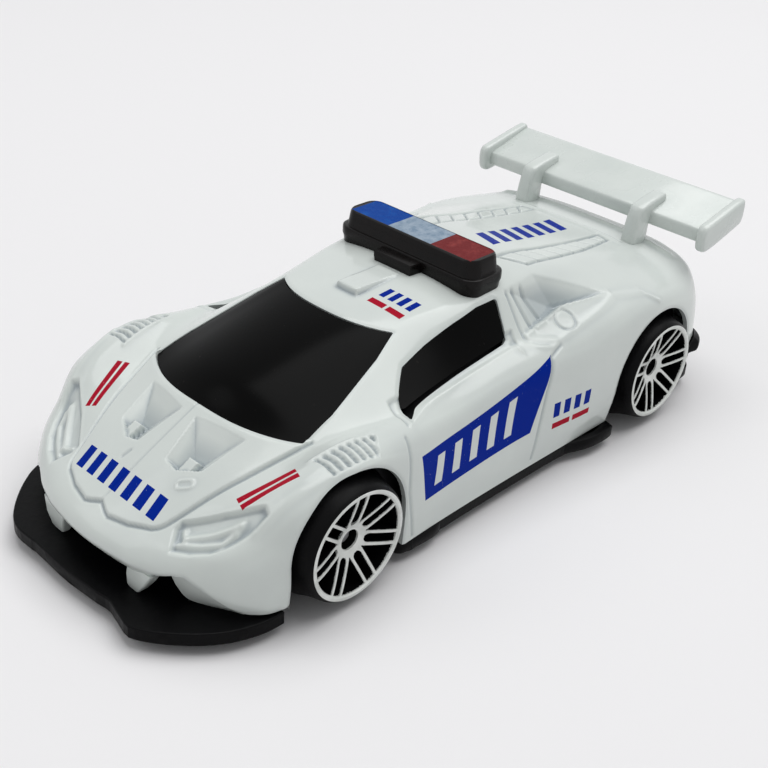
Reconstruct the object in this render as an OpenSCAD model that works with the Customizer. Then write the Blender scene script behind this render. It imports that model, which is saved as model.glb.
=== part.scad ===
// Toy police car: a small die-cast sports car with a roof light bar and a rear wing.
// Millimetres. +X is the front of the car, +Y its left side and +Z up. The ground is z = 0,
// and the origin lies under the middle of the overall length.

/* [Body] */
// Length of the cast body, nose to tail
body_l = 68; // [65:0.5:71]
// Width of the cast body over the wheel arches
body_w = 31; // [29.5:0.5:33]
// Height of the roof above the ground
roof_h = 18.3; // [17.4:0.1:19.4]
// Wall thickness of the cast body
wall = 1.1; // [0.9:0.05:1.3]
// Thickness of the smoked window moulding
glass_t = 0.8; // [0.6:0.05:1]
// Depth of the panes below the paint
pane_sink = 0.15; // [0.1:0.05:0.3]
// Gap between pieces that are fixed to each other
seam = 0.1; // [0.06:0.01:0.14]
// Diameter of the two cast screw posts
post_d = 3.4; // [3:0.1:4]
// Distance of the screw posts from mid-wheelbase
post_x = 27.6; // [27.2:0.1:28]

/* [Wheels and axles] */
// Distance between the two axles
wheelbase = 42; // [41:0.2:43]
// Diameter of the wheels
wheel_d = 12; // [11.4:0.1:12.2]
// Width of a wheel
wheel_w = 4.4; // [4:0.1:4.8]
// How far the wheels stand out past the body's sides
wheel_proud = 0.7; // [0.4:0.1:1]
// Diameter of the bright ring on a wheel's face
rim_d = 9.8; // [9.4:0.1:10.2]
// Width of the bright ring
rim_w = 0.6; // [0.5:0.05:0.8]
// Depth of the dish behind the spokes
dish_depth = 1.7; // [1.4:0.1:2]
// How far the hub's face sits behind the rim
hub_sink = 1.2; // [1:0.1:1.4]
// Diameter of the hub
hub_d = 2.6; // [2.4:0.1:3]
// Pairs of spokes
spoke_pairs = 7; // [5:1:9]
// Width of one spoke
spoke_w = 0.42; // [0.34:0.02:0.5]
// Radius of the tyre's outer shoulder
shoulder_r = 0.9; // [0.7:0.1:1]
// Diameter of the axle pins
axle_d = 1.2; // [1:0.05:1.4]
// Radial running clearance of an axle in its saddles
axle_play = 0.06; // [0.03:0.01:0.09]
// Interference of a wheel pressed on its axle
press = 0.01; // [0.005:0.005:0.02]
// How far an axle's end sits behind the hub's face
axle_sink = 0.6; // [0.4:0.1:0.8]
// Gap between a wheel and its arch
arch_gap = 0.35; // [0.3:0.05:0.5]

/* [Base plate] */
// Ground clearance under the base plate
ground_gap = 1; // [0.8:0.1:1.2]
// Thickness of the base plate
base_t = 1.2; // [1:0.1:1.4]
// How far the side skirts are set in from the body's sides
base_inset = 0.4; // [0.2:0.1:0.8]
// Reach of the front splitter past the front axle
splitter_reach = 16.4; // [15.6:0.1:17.2]
// Reach of the diffuser past the rear axle
diffuser_reach = 12.4; // [11.6:0.1:13]
// Side gap between a wheel's inner face and the base plate
wheel_side_gap = 0.4; // [0.3:0.05:0.6]
// Width of one axle saddle, across the car
saddle_w = 4; // [3.6:0.1:4.4]
// Length of one axle saddle, along the car
saddle_l = 4.4; // [4:0.1:4.8]
// Height of a saddle's top above the axle's middle
saddle_rise = 1; // [0.9:0.05:1.2]
// Height of the diffuser's fins
fin_h = 2.2; // [1.8:0.1:2.6]
// Thickness of a diffuser fin
fin_t = 0.8; // [0.6:0.1:1]
// Number of diffuser fins
fins = 6; // [4:1:8]

/* [Base screws] */
// Diameter of a screw's shank
screw_d = 1.3; // [1.1:0.1:1.4]
// Length of a screw's shank above its head
screw_l = 5; // [4.4:0.1:5.4]
// Diameter of a screw's head
screw_head_d = 2.6; // [2.4:0.1:2.8]
// Height of a screw's head
screw_head_h = 0.7; // [0.5:0.05:0.8]
// Width of the cross slot in a screw's head
slot_w = 0.35; // [0.3:0.05:0.45]
// Diameter of the boss round a screw hole
boss_d = 4.4; // [4:0.1:4.8]
// Height of that boss above the plate
boss_h = 0.9; // [0.7:0.05:1.1]

/* [Cabin tray] */
// Width of the tray
tray_w = 16; // [15:0.2:17]
// Thickness of the tray's floor
tray_t = 0.9; // [0.8:0.05:1.1]
// Height of the seat backs above the floor
seat_h = 4; // [3.4:0.1:4.4]
// Width of one seat
seat_w = 5; // [4.4:0.1:5.6]
// Height of the dashboard above the floor
dash_h = 2.6; // [2.2:0.1:3]

/* [Light bar] */
// Width of the bar's foot, across the car
bar_w = 17.5; // [16.5:0.1:18.1]
// Length of the bar's foot, along the car
bar_l = 5; // [4.6:0.1:5.4]
// Distance of the bar's middle behind mid-wheelbase
bar_back = 2.4; // [2:0.1:2.8]
// Height of the bar's top above the roof
bar_h = 2.45; // [2.2:0.05:2.8]
// Height of the foot's ledge above the roof
bar_ledge_h = 0.75; // [0.6:0.05:0.9]
// Width of the ledge round the foot
bar_ledge = 0.55; // [0.4:0.05:0.7]
// Corner radius of the foot
bar_r = 1.4; // [1.1:0.1:1.7]
// Width of the tab on the foot's front
bar_tab_w = 6.2; // [5.6:0.1:6.8]
// Reach of that tab
bar_tab_l = 1.3; // [1.1:0.1:1.5]
// Diameter of the pegs under the bar and the wing
peg_d = 1.3; // [1.1:0.1:1.5]
// Distance of the bar's pegs from the middle
bar_peg_y = 4.5; // [4:0.1:5]

/* [Rear wing] */
// Width of the wing over its end plates
wing_w = 29.2; // [28:0.2:30.4]
// Length of an end plate, along the car
wing_chord = 7.4; // [7:0.1:7.8]
// Distance of the wing's trailing edge behind mid-wheelbase
wing_back = 34.9; // [34.4:0.1:35.4]
// Height of an end plate's front lower corner above the ground
wing_low_z = 16.3; // [16.1:0.1:16.6]
// Thickness of an end plate
end_t = 1; // [0.8:0.1:1.2]
// Height of an end plate
end_h = 2.5; // [2.2:0.1:2.8]
// Rise of an end plate from front to back
end_rise = 1.4; // [1.2:0.1:1.6]
// Distance of the blade's front edge behind the end plates'
blade_set = 1.2; // [1:0.1:1.4]
// Height of the blade's front edge above the end plates' lower corner
blade_lift = 0.45; // [0.4:0.05:0.5]
// Thickness of the blade at its front
blade_t = 1.15; // [1:0.05:1.3]
// Rise of the blade from front to back
blade_rise = 1.9; // [1.7:0.1:2.1]
// Thickness of one upright, across the car
upright_t = 1.7; // [1.5:0.1:1.9]
// Distance of an upright's middle from the middle of the car
upright_y = 6.9; // [6.4:0.1:7.4]
// Length of an upright's foot, along the car
upright_l = 2.6; // [2.4:0.1:2.8]
// Distance of the uprights' feet behind mid-wheelbase
upright_back = 27.1; // [26.8:0.1:27.4]
// How far an upright leans back
upright_lean = 1.2; // [1:0.1:1.4]
// Length of an upright's tab over the blade
tab_l = 2.6; // [2.4:0.1:2.8]
// Height of that tab above the blade's front
tab_h = 0.8; // [0.7:0.05:0.9]

/* [Hidden] */

// Overrun of every cut past the face that it opens
over = 1;
$fn = 48;

half_w = body_w / 2;
half_wb = wheelbase / 2;
wheel_r = wheel_d / 2;
arch_r = wheel_r + arch_gap;
base_top = ground_gap + base_t;
body_h = roof_h - base_top;
half_base = half_w - base_inset;
splitter_x = half_wb + splitter_reach;
diffuser_x = half_wb + diffuser_reach;
wheel_out_y = half_w + wheel_proud;
wheel_in_y = wheel_out_y - wheel_w;
base_in_y = wheel_in_y - wheel_side_gap;
hub_y = wheel_out_y - hub_sink;
axle_half = hub_y - axle_sink;
saddle_top = wheel_r + saddle_rise;
slot_d = axle_d + 2 * axle_play;
bar_z = roof_h + bar_h;
// The model is drawn about mid-wheelbase and shifted to the middle of its length
mid_shift = (wing_back - splitter_x) / 2;

// Body lines from the nose to the tail. Each point is a share of the body's length, counted
// from mid-wheelbase, of its half width, and of its height above the base plate.
sill_shares = [
  [0.396, 0.948, 0.006], [0.391, 0.958, 0.006], [0.379, 0.968, 0.003], [0.359, 0.981, 0.003],
  [0.329, 0.994, 0.003], [0.272, 0.994, 0.003], [0.199, 0.974, 0.003], [0.118, 0.961, 0.003],
  [0.015, 0.955, 0.003], [-0.066, 0.955, 0.003], [-0.14, 0.955, 0.003], [-0.209, 0.955, 0.003],
  [-0.309, 0.955, 0.006], [-0.382, 0.942, 0.012], [-0.426, 0.916, 0.019], [-0.444, 0.884, 0.031],
  [-0.444, 0.852, 0.031]
];
rocker_shares = [
  [0.424, 0.923, 0.012], [0.421, 0.942, 0.075], [0.406, 0.961, 0.137], [0.379, 0.981, 0.174],
  [0.347, 0.994, 0.205], [0.279, 1, 0.236], [0.199, 0.981, 0.174], [0.118, 0.968, 0.143],
  [0.015, 0.961, 0.143], [-0.066, 0.968, 0.143], [-0.14, 0.987, 0.143], [-0.213, 0.994, 0.205],
  [-0.309, 0.994, 0.298], [-0.387, 0.981, 0.298], [-0.432, 0.935, 0.236], [-0.451, 0.865, 0.174],
  [-0.453, 0.8, 0.075]
];
waist_shares = [
  [0.45, 0.832, 0.025], [0.453, 0.852, 0.106], [0.435, 0.903, 0.236], [0.403, 0.955, 0.335],
  [0.365, 0.985, 0.497], [0.287, 0.99, 0.606], [0.203, 0.968, 0.497], [0.118, 0.942, 0.391],
  [0.015, 0.929, 0.391], [-0.066, 0.961, 0.391], [-0.14, 0.994, 0.391], [-0.218, 1, 0.484],
  [-0.309, 1, 0.615], [-0.39, 0.974, 0.547], [-0.437, 0.903, 0.472], [-0.459, 0.813, 0.335],
  [-0.462, 0.723, 0.124]
];
shoulder_shares = [
  [0.468, 0.703, 0.05], [0.472, 0.735, 0.143], [0.457, 0.761, 0.286], [0.424, 0.839, 0.391],
  [0.376, 0.929, 0.547], [0.294, 0.942, 0.652], [0.209, 0.923, 0.618], [0.118, 0.91, 0.571],
  [0.015, 0.916, 0.596], [-0.066, 0.948, 0.596], [-0.14, 0.981, 0.584], [-0.218, 0.981, 0.652],
  [-0.309, 0.961, 0.708], [-0.391, 0.923, 0.658], [-0.441, 0.852, 0.596], [-0.465, 0.748, 0.447],
  [-0.468, 0.632, 0.161]
];
crown_shares = [
  [0.481, 0.594, 0.075], [0.487, 0.619, 0.168], [0.474, 0.632, 0.286], [0.438, 0.684, 0.373],
  [0.379, 0.8, 0.58], [0.3, 0.839, 0.683], [0.213, 0.832, 0.658], [0.118, 0.826, 0.634],
  [0.015, 0.839, 0.671], [-0.066, 0.877, 0.689], [-0.14, 0.916, 0.696], [-0.218, 0.916, 0.733],
  [-0.309, 0.89, 0.752], [-0.39, 0.839, 0.727], [-0.446, 0.774, 0.683], [-0.469, 0.671, 0.516],
  [-0.472, 0.542, 0.174]
];
belt_shares = [
  [0.491, 0.49, 0.093], [0.499, 0.503, 0.186], [0.485, 0.503, 0.28], [0.447, 0.555, 0.36],
  [0.391, 0.645, 0.503], [0.301, 0.703, 0.627], [0.213, 0.748, 0.646], [0.118, 0.761, 0.665],
  [0.015, 0.748, 0.702], [-0.066, 0.748, 0.733], [-0.14, 0.787, 0.758], [-0.218, 0.787, 0.783],
  [-0.309, 0.761, 0.783], [-0.39, 0.723, 0.764], [-0.449, 0.671, 0.727], [-0.472, 0.581, 0.547],
  [-0.475, 0.452, 0.174]
];
roof_edge_shares = [
  [0.503, 0.335, 0.112], [0.512, 0.342, 0.193], [0.496, 0.348, 0.28], [0.456, 0.413, 0.36],
  [0.397, 0.49, 0.478], [0.306, 0.639, 0.602], [0.243, 0.574, 0.708], [0.122, 0.465, 0.894],
  [0.015, 0.535, 0.944], [-0.066, 0.561, 0.957], [-0.14, 0.516, 0.95], [-0.218, 0.503, 0.894],
  [-0.309, 0.503, 0.839], [-0.39, 0.503, 0.801], [-0.453, 0.516, 0.752], [-0.475, 0.452, 0.559],
  [-0.478, 0.348, 0.174]
];
mid_shares = [
  [0.51, 0.168, 0.124], [0.519, 0.168, 0.199], [0.504, 0.168, 0.28], [0.465, 0.206, 0.373],
  [0.406, 0.245, 0.503], [0.341, 0.323, 0.627], [0.282, 0.29, 0.758], [0.144, 0.232, 0.919],
  [0.022, 0.271, 0.975], [-0.066, 0.284, 0.994], [-0.14, 0.271, 0.981], [-0.218, 0.265, 0.919],
  [-0.309, 0.265, 0.857], [-0.39, 0.265, 0.814], [-0.456, 0.258, 0.764], [-0.478, 0.226, 0.559],
  [-0.478, 0.174, 0.174]
];
spine_shares = [
  [0.512, 0, 0.124], [0.522, 0, 0.199], [0.507, 0, 0.28], [0.468, 0, 0.373], [0.409, 0, 0.509],
  [0.351, 0, 0.64], [0.294, 0, 0.776], [0.15, 0, 0.925], [0.024, 0, 0.981], [-0.066, 0, 1],
  [-0.14, 0, 0.988], [-0.218, 0, 0.925], [-0.309, 0, 0.857], [-0.39, 0, 0.814], [-0.456, 0, 0.764],
  [-0.478, 0, 0.559], [-0.478, 0, 0.174]
];
lines = [
  sill_shares, rocker_shares, waist_shares, shoulder_shares, crown_shares, belt_shares,
  roof_edge_shares, mid_shares, spine_shares
];
// How much of each side of a line's corner its round takes, sill to spine
round_shares = [0, 0.35, 0.42, 0.42, 0.42, 0.35, 0.22, 0.5, 0.5];
last_line = len(lines) - 1;
last_station = len(spine_shares) - 1;
// Rings between two stations, outside and inside, and steps in a round
outer_steps = 2;
inner_steps = 1;
round_steps = 2;
// Stations from and to which the roof with its windows and the wing's deck reach
cabin_shares = [4, 11];
deck_shares = [11, 15];

// Windscreen seen from above, in shares of the body's length and half width
screen_low_share = 0.349;
screen_low_bow_share = 0.049;
screen_low_w_share = 0.622;
screen_top_share = 0.155;
screen_top_bow_share = 0.031;
screen_top_w_share = 0.445;
screen_bow_power = 2.4;
screen_floor_share = 0.5;
screen_round_share = 0.045;
edge_steps = 10;
// Side window seen from the left, in shares of the body's length and of its height
side_window_shares = [
  [0.181, 0.64], [0.147, 0.77], [0.044, 0.882], [-0.006, 0.922], [-0.038, 0.925], [-0.025, 0.742]
];
side_from_share = 0.5;
side_round_share = 0.03;

// Splitter's edge from the middle to the front arch, in shares of its reach and half width
splitter_shares = [
  [0.955, 0], [0.955, 0.29], [0.975, 0.39], [1, 0.54], [0.94, 0.68], [0.83, 0.81], [0.69, 0.91],
  [0.52, 0.968], [0.38, 0.978], [0.28, 0.974]
];
edge_points = 4;
// Side skirt's edge from the front arch to the rear arch, in shares of the wheelbase from its
// middle and of the half width
skirt_shares = [
  [0.34, 0.97], [0.32, 1], [0.27, 0.985], [0.1, 0.975], [-0.12, 0.975], [-0.22, 0.985],
  [-0.29, 1.01], [-0.325, 0.99]
];
// Diffuser's edge from the rear arch to the middle, in shares of its reach and half width
diffuser_shares = [
  [0.4, 0.94], [0.66, 0.935], [0.8, 0.91], [0.9, 0.8], [0.98, 0.55], [1, 0.3], [1, 0]
];

// Hood intakes, headlights and quarter recesses, each a list of [station, line]
intake_pocket_shares = [[5.15, 6.35], [5.15, 7.2], [4.3, 7.15], [4.45, 6.5]];
headlight_pocket_shares = [[2.55, 4.7], [3.1, 5.3], [3.9, 4.2], [3.5, 3.7], [2.7, 4.1]];
quarter_pocket_shares = [[9.25, 5.25], [9.2, 5.95], [10.2, 5.9], [11.0, 5.0], [10.2, 4.9]];
// Depth of those pockets as a share of the wall
pocket_depth_share = 0.65;
// Deck slats and fender louvres: their first and last station, and the lines between which they run
slat_count = 7;
slat_shares = [10.4, 12.6];
slat_line_shares = [6.25, 6.85];
louvre_count = 5;
louvre_shares = [4.95, 5.95];
louvre_line_shares = [3.55, 4.3];
// Width of a slat's or louvre's rib, and the width of a pocket's corner
rib_w = 0.4;
// Roof hatch in front of the bar: its length, its width, its front and its height
hatch_l = 5.1;
hatch_w = 2.5;
hatch_front_x = 7.3;
hatch_h = 0.45;

// A point on a smooth curve through the points p, at u points from its start
function spline(p, u) =
  let (
    i = min(floor(u), len(p) - 2),
    t = u - i,
    a = p[max(i - 1, 0)],
    b = p[i],
    c = p[i + 1],
    d = p[min(i + 2, len(p) - 1)]
  )
  (2 * b + (c - a) * t + (2 * a - 5 * b + 4 * c - d) * t * t + (3 * b - a - 3 * c + d) * t * t * t) / 2;

// The place of a point given in shares, on the skin or a distance inside it
function placed(s, inset) =
  [s[0] * (body_l - 2 * inset), s[1] * (half_w - inset), base_top + s[2] * (body_h - inset)];

// How far the open underside of an inner skin is drawn down at station u on line k
function dropped(u, k, drop) =
  k == 0 ? drop : drop * max(0, 1 - u, u - last_station + 1);

function line_points(u, inset, drop) =
  [for (k = [0:last_line]) placed(spline(lines[k], u), inset) - [0, 0, dropped(u, k, drop)]];

function flipped(p) = [p[0], -p[1], p[2]];

// A rounded corner at b between a and c, as points of a parabola
function rounded(a, b, c, share) =
  let (s = b + (a - b) * share, e = b + (c - b) * share)
  [for (j = [0:round_steps]) let (t = j / round_steps)
    (1 - t) * (1 - t) * s + 2 * t * (1 - t) * b + t * t * e];

// One cross-section from the left sill over the roof to the right sill
function half_ring(u, inset, drop) =
  let (
    p = line_points(u, inset, drop),
    top = rounded(p[last_line - 1], p[last_line], flipped(p[last_line - 1]), round_shares[last_line])
  )
  concat(
    [p[0]],
    [for (k = [1:last_line - 1]) each rounded(p[k - 1], p[k], p[k + 1], round_shares[k])],
    [for (j = [0:round_steps / 2]) top[j]]
  );

function ring(u, inset, drop) =
  let (h = half_ring(u, inset, drop))
  concat(h, [for (j = [len(h) - 2:-1:0]) flipped(h[j])]);

// A point of the skin between the lines, at station u and line k
function on_skin(u, k) =
  let (
    p = line_points(u, 0, 0),
    i = min(floor(k), last_line - 1)
  )
  p[i] + (p[i + 1] - p[i]) * (k - i);

// Height of the body's middle line at x
function spine_z(x) =
  lookup(x, [for (u = [0:1 / outer_steps:last_station]) let (p = placed(spline(spine_shares, u), 0)) [p[0], p[2]]]);

// The body's outer form between two stations as one closed solid
module body_form(inset, drop, from, to, steps) {
  rows = (to - from) * steps;
  rings = [for (i = [0:rows]) ring(from + i / steps, inset, drop)];
  n = len(rings[0]);
  middle = (n - 1) / 2;
  end = rows * n;
  sides = [for (i = [0:rows - 1], j = [0:n - 1])
    let (a = i * n + j, b = i * n + (j + 1) % n)
    each [[a, b, b + n], [a, b + n, a + n]]];
  front = [for (j = [0:middle - 1])
    each [[j, n - 1 - j, j + 1], if (j + 1 < middle) [j + 1, n - 1 - j, n - 2 - j]]];
  back = [for (f = front) [end + f[2], end + f[1], end + f[0]]];
  polyhedron([for (r = rings) each r], concat(sides, front, back));
}

// Everything is drawn about mid-wheelbase, then moved to the middle of the length
module in_frame() translate([mid_shift, 0, 0]) children();

module both_sides() {
  children();
  mirror([0, 1, 0]) children();
}

// Rounds the corners of a flat outline, inside and out
module softened(r) offset(r) offset(-2 * r) offset(r) children();

module screen_outline(gap) {
  low_x = screen_low_share * body_l;
  low_bow = screen_low_bow_share * body_l;
  low_y = screen_low_w_share * half_w;
  top_x = screen_top_share * body_l;
  top_bow = screen_top_bow_share * body_l;
  top_y = screen_top_w_share * half_w;
  offset(-gap) softened(screen_round_share * half_w) polygon(concat(
    [for (i = [-edge_steps:edge_steps]) let (t = i / edge_steps)
      [low_x - low_bow * pow(abs(t), screen_bow_power), low_y * t]],
    [for (i = [edge_steps:-1:-edge_steps]) let (t = i / edge_steps)
      [top_x - top_bow * pow(abs(t), screen_bow_power), top_y * t]]
  ));
}

// Upright block through the windscreen's opening
module screen_block(gap)
  translate([0, 0, base_top + screen_floor_share * body_h])
    linear_extrude(body_h) screen_outline(gap);

// Sideways block through the left window's opening
module side_block(gap)
  translate([0, half_w + over, 0]) rotate([90, 0, 0])
    linear_extrude(half_w * (1 - side_from_share) + over)
      offset(-gap) softened(side_round_share * half_w)
        polygon([for (s = side_window_shares) [s[0] * body_l, base_top + s[1] * body_h]]);

module at_pegs_of_bar()
  both_sides() translate([-bar_back, bar_peg_y, 0]) children();

module at_pegs_of_wing()
  both_sides() translate([-upright_back, upright_y, 0]) children();

module at_axle(x) translate([x, 0, wheel_r]) rotate([90, 0, 0]) children();

module at_posts() for (x = [post_x, -post_x]) translate([x, 0, 0]) children();

// Room for the left wheels inside their arches
module wheel_rooms()
  for (x = [half_wb, -half_wb])
    translate([0, wheel_out_y + over, 0]) at_axle(x)
      cylinder(r = arch_r, h = wheel_w + wheel_side_gap + over);

// A shallow pocket in the skin with the given corners
module pocket(corners) {
  depth = pocket_depth_share * wall;
  hull() for (c = corners)
    translate(on_skin(c[0], c[1]) + [0, 0, (over - depth) / 2])
      cube([rib_w, rib_w, over + depth], center = true);
}

// A row of ribs on the skin, from station to station, each from line to line
module ribs(count, stations, lines_of_ends)
  for (i = [0:count - 1])
    hull() for (k = lines_of_ends)
      translate(on_skin(stations[0] + (stations[1] - stations[0]) * i / (count - 1), k))
        cube([rib_w, rib_w, rib_w], center = true);

// Cast metal body: an open shell with screw posts, arches, window openings and peg holes
module body_shell() color("white") in_frame() difference() {
  union() {
    difference() {
      body_form(0, 0, 0, last_station, outer_steps);
      difference() {
        body_form(wall, over, 0, last_station, inner_steps);
        at_posts() translate([0, 0, base_top + boss_h + seam]) cylinder(d = post_d, h = roof_h);
      }
    }
    both_sides() {
      ribs(slat_count, slat_shares, slat_line_shares);
      ribs(louvre_count, louvre_shares, louvre_line_shares);
    }
    translate([hatch_front_x - hatch_l, -hatch_w / 2, spine_z(hatch_front_x) - wall / 2])
      cube([hatch_l, hatch_w, wall / 2 + hatch_h]);
  }
  screen_block(0);
  both_sides() {
    side_block(0);
    wheel_rooms();
    pocket(intake_pocket_shares);
    pocket(headlight_pocket_shares);
    pocket(quarter_pocket_shares);
  }
  at_pegs_of_bar() cylinder(d = peg_d + 2 * seam, h = roof_h + over);
  at_pegs_of_wing() cylinder(d = peg_d + 2 * seam, h = roof_h + over);
  at_posts() cylinder(d = screw_d + seam, h = base_top + boss_h + screw_l);
}

// Smoked moulding under the roof whose panes fill the windscreen and the side windows
module window_insert() color("#241c18") in_frame() difference() {
  union() {
    intersection() {
      body_form(pane_sink, 0, cabin_shares[0], cabin_shares[1], inner_steps);
      union() {
        screen_block(seam);
        both_sides() side_block(seam);
      }
    }
    intersection() {
      body_form(wall + seam, 0, cabin_shares[0], cabin_shares[1], inner_steps);
      insert_block();
    }
  }
  body_form(wall + seam + glass_t, over, cabin_shares[0], cabin_shares[1], inner_steps);
  both_sides() wheel_rooms();
}

// Room above the belt line that the moulding's hidden rim takes
module insert_block() {
  front_x = screen_low_share * body_l;
  back_x = -bar_back - bar_l;
  translate([back_x, -half_w, base_top + side_window_shares[0][1] * body_h - wall])
    cube([front_x - back_x, body_w, body_h]);
}

// A plate with round corners that stands on z = 0
module rounded_plate(l, w, r, h) linear_extrude(h) {
  square([l - 2 * r, w], center = true);
  square([l, w - 2 * r], center = true);
  for (x = [-1, 1], y = [-1, 1]) translate([x * (l / 2 - r), y * (w / 2 - r)]) circle(r);
}

// Two-tier roof bar, cut to the roof that it stands on, with two pegs
module light_bar() color("#2a1c16") in_frame() {
  foot_z = roof_h - bar_ledge_h;
  top_z = roof_h + bar_ledge_h;
  difference() {
    translate([-bar_back, 0, 0]) {
      translate([0, 0, foot_z]) rounded_plate(bar_l, bar_w, bar_r, top_z - foot_z);
      translate([0, 0, foot_z])
        rounded_plate(bar_l - 2 * bar_ledge, bar_w - 4 * bar_ledge, bar_r, bar_z - foot_z);
      translate([bar_l / 2, 0, foot_z]) linear_extrude(top_z - foot_z) polygon([
        [-bar_r, bar_tab_w / 2 + bar_tab_l], [0, bar_tab_w / 2 + bar_tab_l],
        [bar_tab_l, bar_tab_w / 2], [bar_tab_l, -bar_tab_w / 2],
        [0, -bar_tab_w / 2 - bar_tab_l], [-bar_r, -bar_tab_w / 2 - bar_tab_l]
      ]);
    }
    body_form(-seam, 0, cabin_shares[0], cabin_shares[1], inner_steps);
  }
  at_pegs_of_bar() translate([0, 0, roof_h - wall]) cylinder(d = peg_d, h = wall + bar_ledge_h);
}

// An outline in the XZ plane, drawn out to both sides of y
module side_plate(y, t, points)
  translate([0, y + t / 2, 0]) rotate([90, 0, 0]) linear_extrude(t) polygon(points);

// White wing: a blade between end plates on two uprights with pegs
module rear_wing() color("white") in_frame() {
  front_x = wing_chord - wing_back;
  blade_x = front_x - blade_set;
  low = wing_low_z + blade_lift;
  high = low + blade_rise;
  top = low + blade_t + tab_h;
  foot_x = upright_l / 2 - upright_back;
  foot_z = spine_z(-upright_back) - wall;
  side_plate(0, wing_w - end_t, [
    [blade_x, low], [blade_x, low + blade_t], [end_t / 4 - wing_back, high + blade_t],
    [end_t / 4 - wing_back, high + blade_t / 2]
  ]);
  both_sides() side_plate((wing_w - end_t) / 2, end_t, [
    [front_x - end_t / 2, wing_low_z], [front_x, wing_low_z + end_h - end_t / 2],
    [front_x - end_t / 2, wing_low_z + end_h], [-wing_back, wing_low_z + end_h + end_rise],
    [-wing_back, wing_low_z + end_rise + end_t / 2], [end_t / 2 - wing_back, wing_low_z + end_rise]
  ]);
  difference() {
    both_sides() side_plate(upright_y, upright_t, [
      [foot_x, foot_z], [foot_x - upright_lean / 2, low + blade_t], [foot_x - upright_lean, top],
      [foot_x - upright_lean - tab_l, top + tab_h / 2], [foot_x - upright_lean - tab_l, low + blade_t],
      [foot_x - upright_l, low + blade_t / 2], [foot_x - upright_l, foot_z]
    ]);
    body_form(-seam, 0, deck_shares[0], deck_shares[1], inner_steps);
  }
  at_pegs_of_wing() translate([0, 0, foot_z]) cylinder(d = peg_d, h = low - foot_z);
}

function smooth_edge(shares) =
  [for (i = [0:(len(shares) - 1) * edge_points]) spline(shares, i / edge_points)];

// Left half of the base plate's outline, with room for the wheels
module base_half() {
  nose = [for (s = smooth_edge(splitter_shares)) [half_wb + s[0] * splitter_reach, s[1] * half_base]];
  skirt = [for (s = smooth_edge(skirt_shares)) [s[0] * wheelbase, s[1] * half_base]];
  tail = [for (s = smooth_edge(diffuser_shares)) [-half_wb - s[0] * diffuser_reach, s[1] * half_base]];
  difference() {
    polygon(concat(nose, skirt, tail));
    for (x = [half_wb, -half_wb])
      translate([x - arch_r, base_in_y]) square([2 * arch_r, half_base]);
  }
}

// Black base: splitter, skirts and diffuser in one plate, with saddles for the axles
module base_plate() color("#17181a") in_frame() difference() {
  union() {
    translate([0, 0, ground_gap]) linear_extrude(base_t) both_sides() base_half();
    at_posts() translate([0, 0, ground_gap]) cylinder(d = boss_d, h = base_t + boss_h);
    both_sides() for (x = [half_wb, -half_wb])
      translate([x - saddle_l / 2, base_in_y - saddle_w, ground_gap])
        cube([saddle_l, saddle_w, saddle_top - ground_gap]);
    for (i = [0:fins - 1])
      translate([
        -diffuser_x + fin_h, (i / (fins - 1) - 1 / 2) * (base_in_y * 2 - fin_t) - fin_t / 2, ground_gap
      ])
        cube([diffuser_reach - arch_r - fin_h, fin_t, base_t + fin_h]);
  }
  for (x = [half_wb, -half_wb]) {
    translate([0, half_w, 0]) at_axle(x) cylinder(d = slot_d, h = body_w);
    translate([x - slot_d / 2, -half_w, wheel_r]) cube([slot_d, body_w, saddle_rise + over]);
  }
  at_posts() {
    cylinder(d = screw_d + 2 * seam, h = base_top + boss_h + over);
    cylinder(d = screw_head_d + 2 * seam, h = ground_gap + screw_head_h + seam);
  }
}

// Black tray with two seats and a dashboard, whose ribs close the axle saddles from above
module cabin_tray() color("#202124") in_frame() {
  floor_z = saddle_top;
  floor_top = floor_z + tray_t;
  rib_low = wheel_r + axle_d / 2 + axle_play;
  seat_x = -wheelbase / 8;
  dash_x = wheelbase / 4;
  translate([-half_wb - saddle_l / 2, -tray_w / 2, floor_z]) cube([wheelbase + saddle_l, tray_w, tray_t]);
  both_sides() {
    for (x = [half_wb, -half_wb])
      translate([x - slot_d / 2 + seam, base_in_y - saddle_w, rib_low])
        cube([slot_d - 2 * seam, tray_w / 2 - base_in_y + saddle_w, floor_top - rib_low]);
    translate([seat_x, tray_w / 4 - seat_w / 2, floor_z]) {
      cube([seat_w, seat_w, tray_t + seat_h / 4]);
      cube([seat_w / 4, seat_w, tray_t + seat_h]);
    }
  }
  translate([dash_x, -tray_w / 2, floor_z]) cube([seat_w / 2, tray_w, tray_t + dash_h]);
}

// Steel pin that carries a pair of wheels
module axle(x) color("silver") in_frame()
  translate([0, axle_half, 0]) at_axle(x) cylinder(d = axle_d, h = 2 * axle_half);

module front_axle() axle(half_wb);
module rear_axle() axle(-half_wb);

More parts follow.
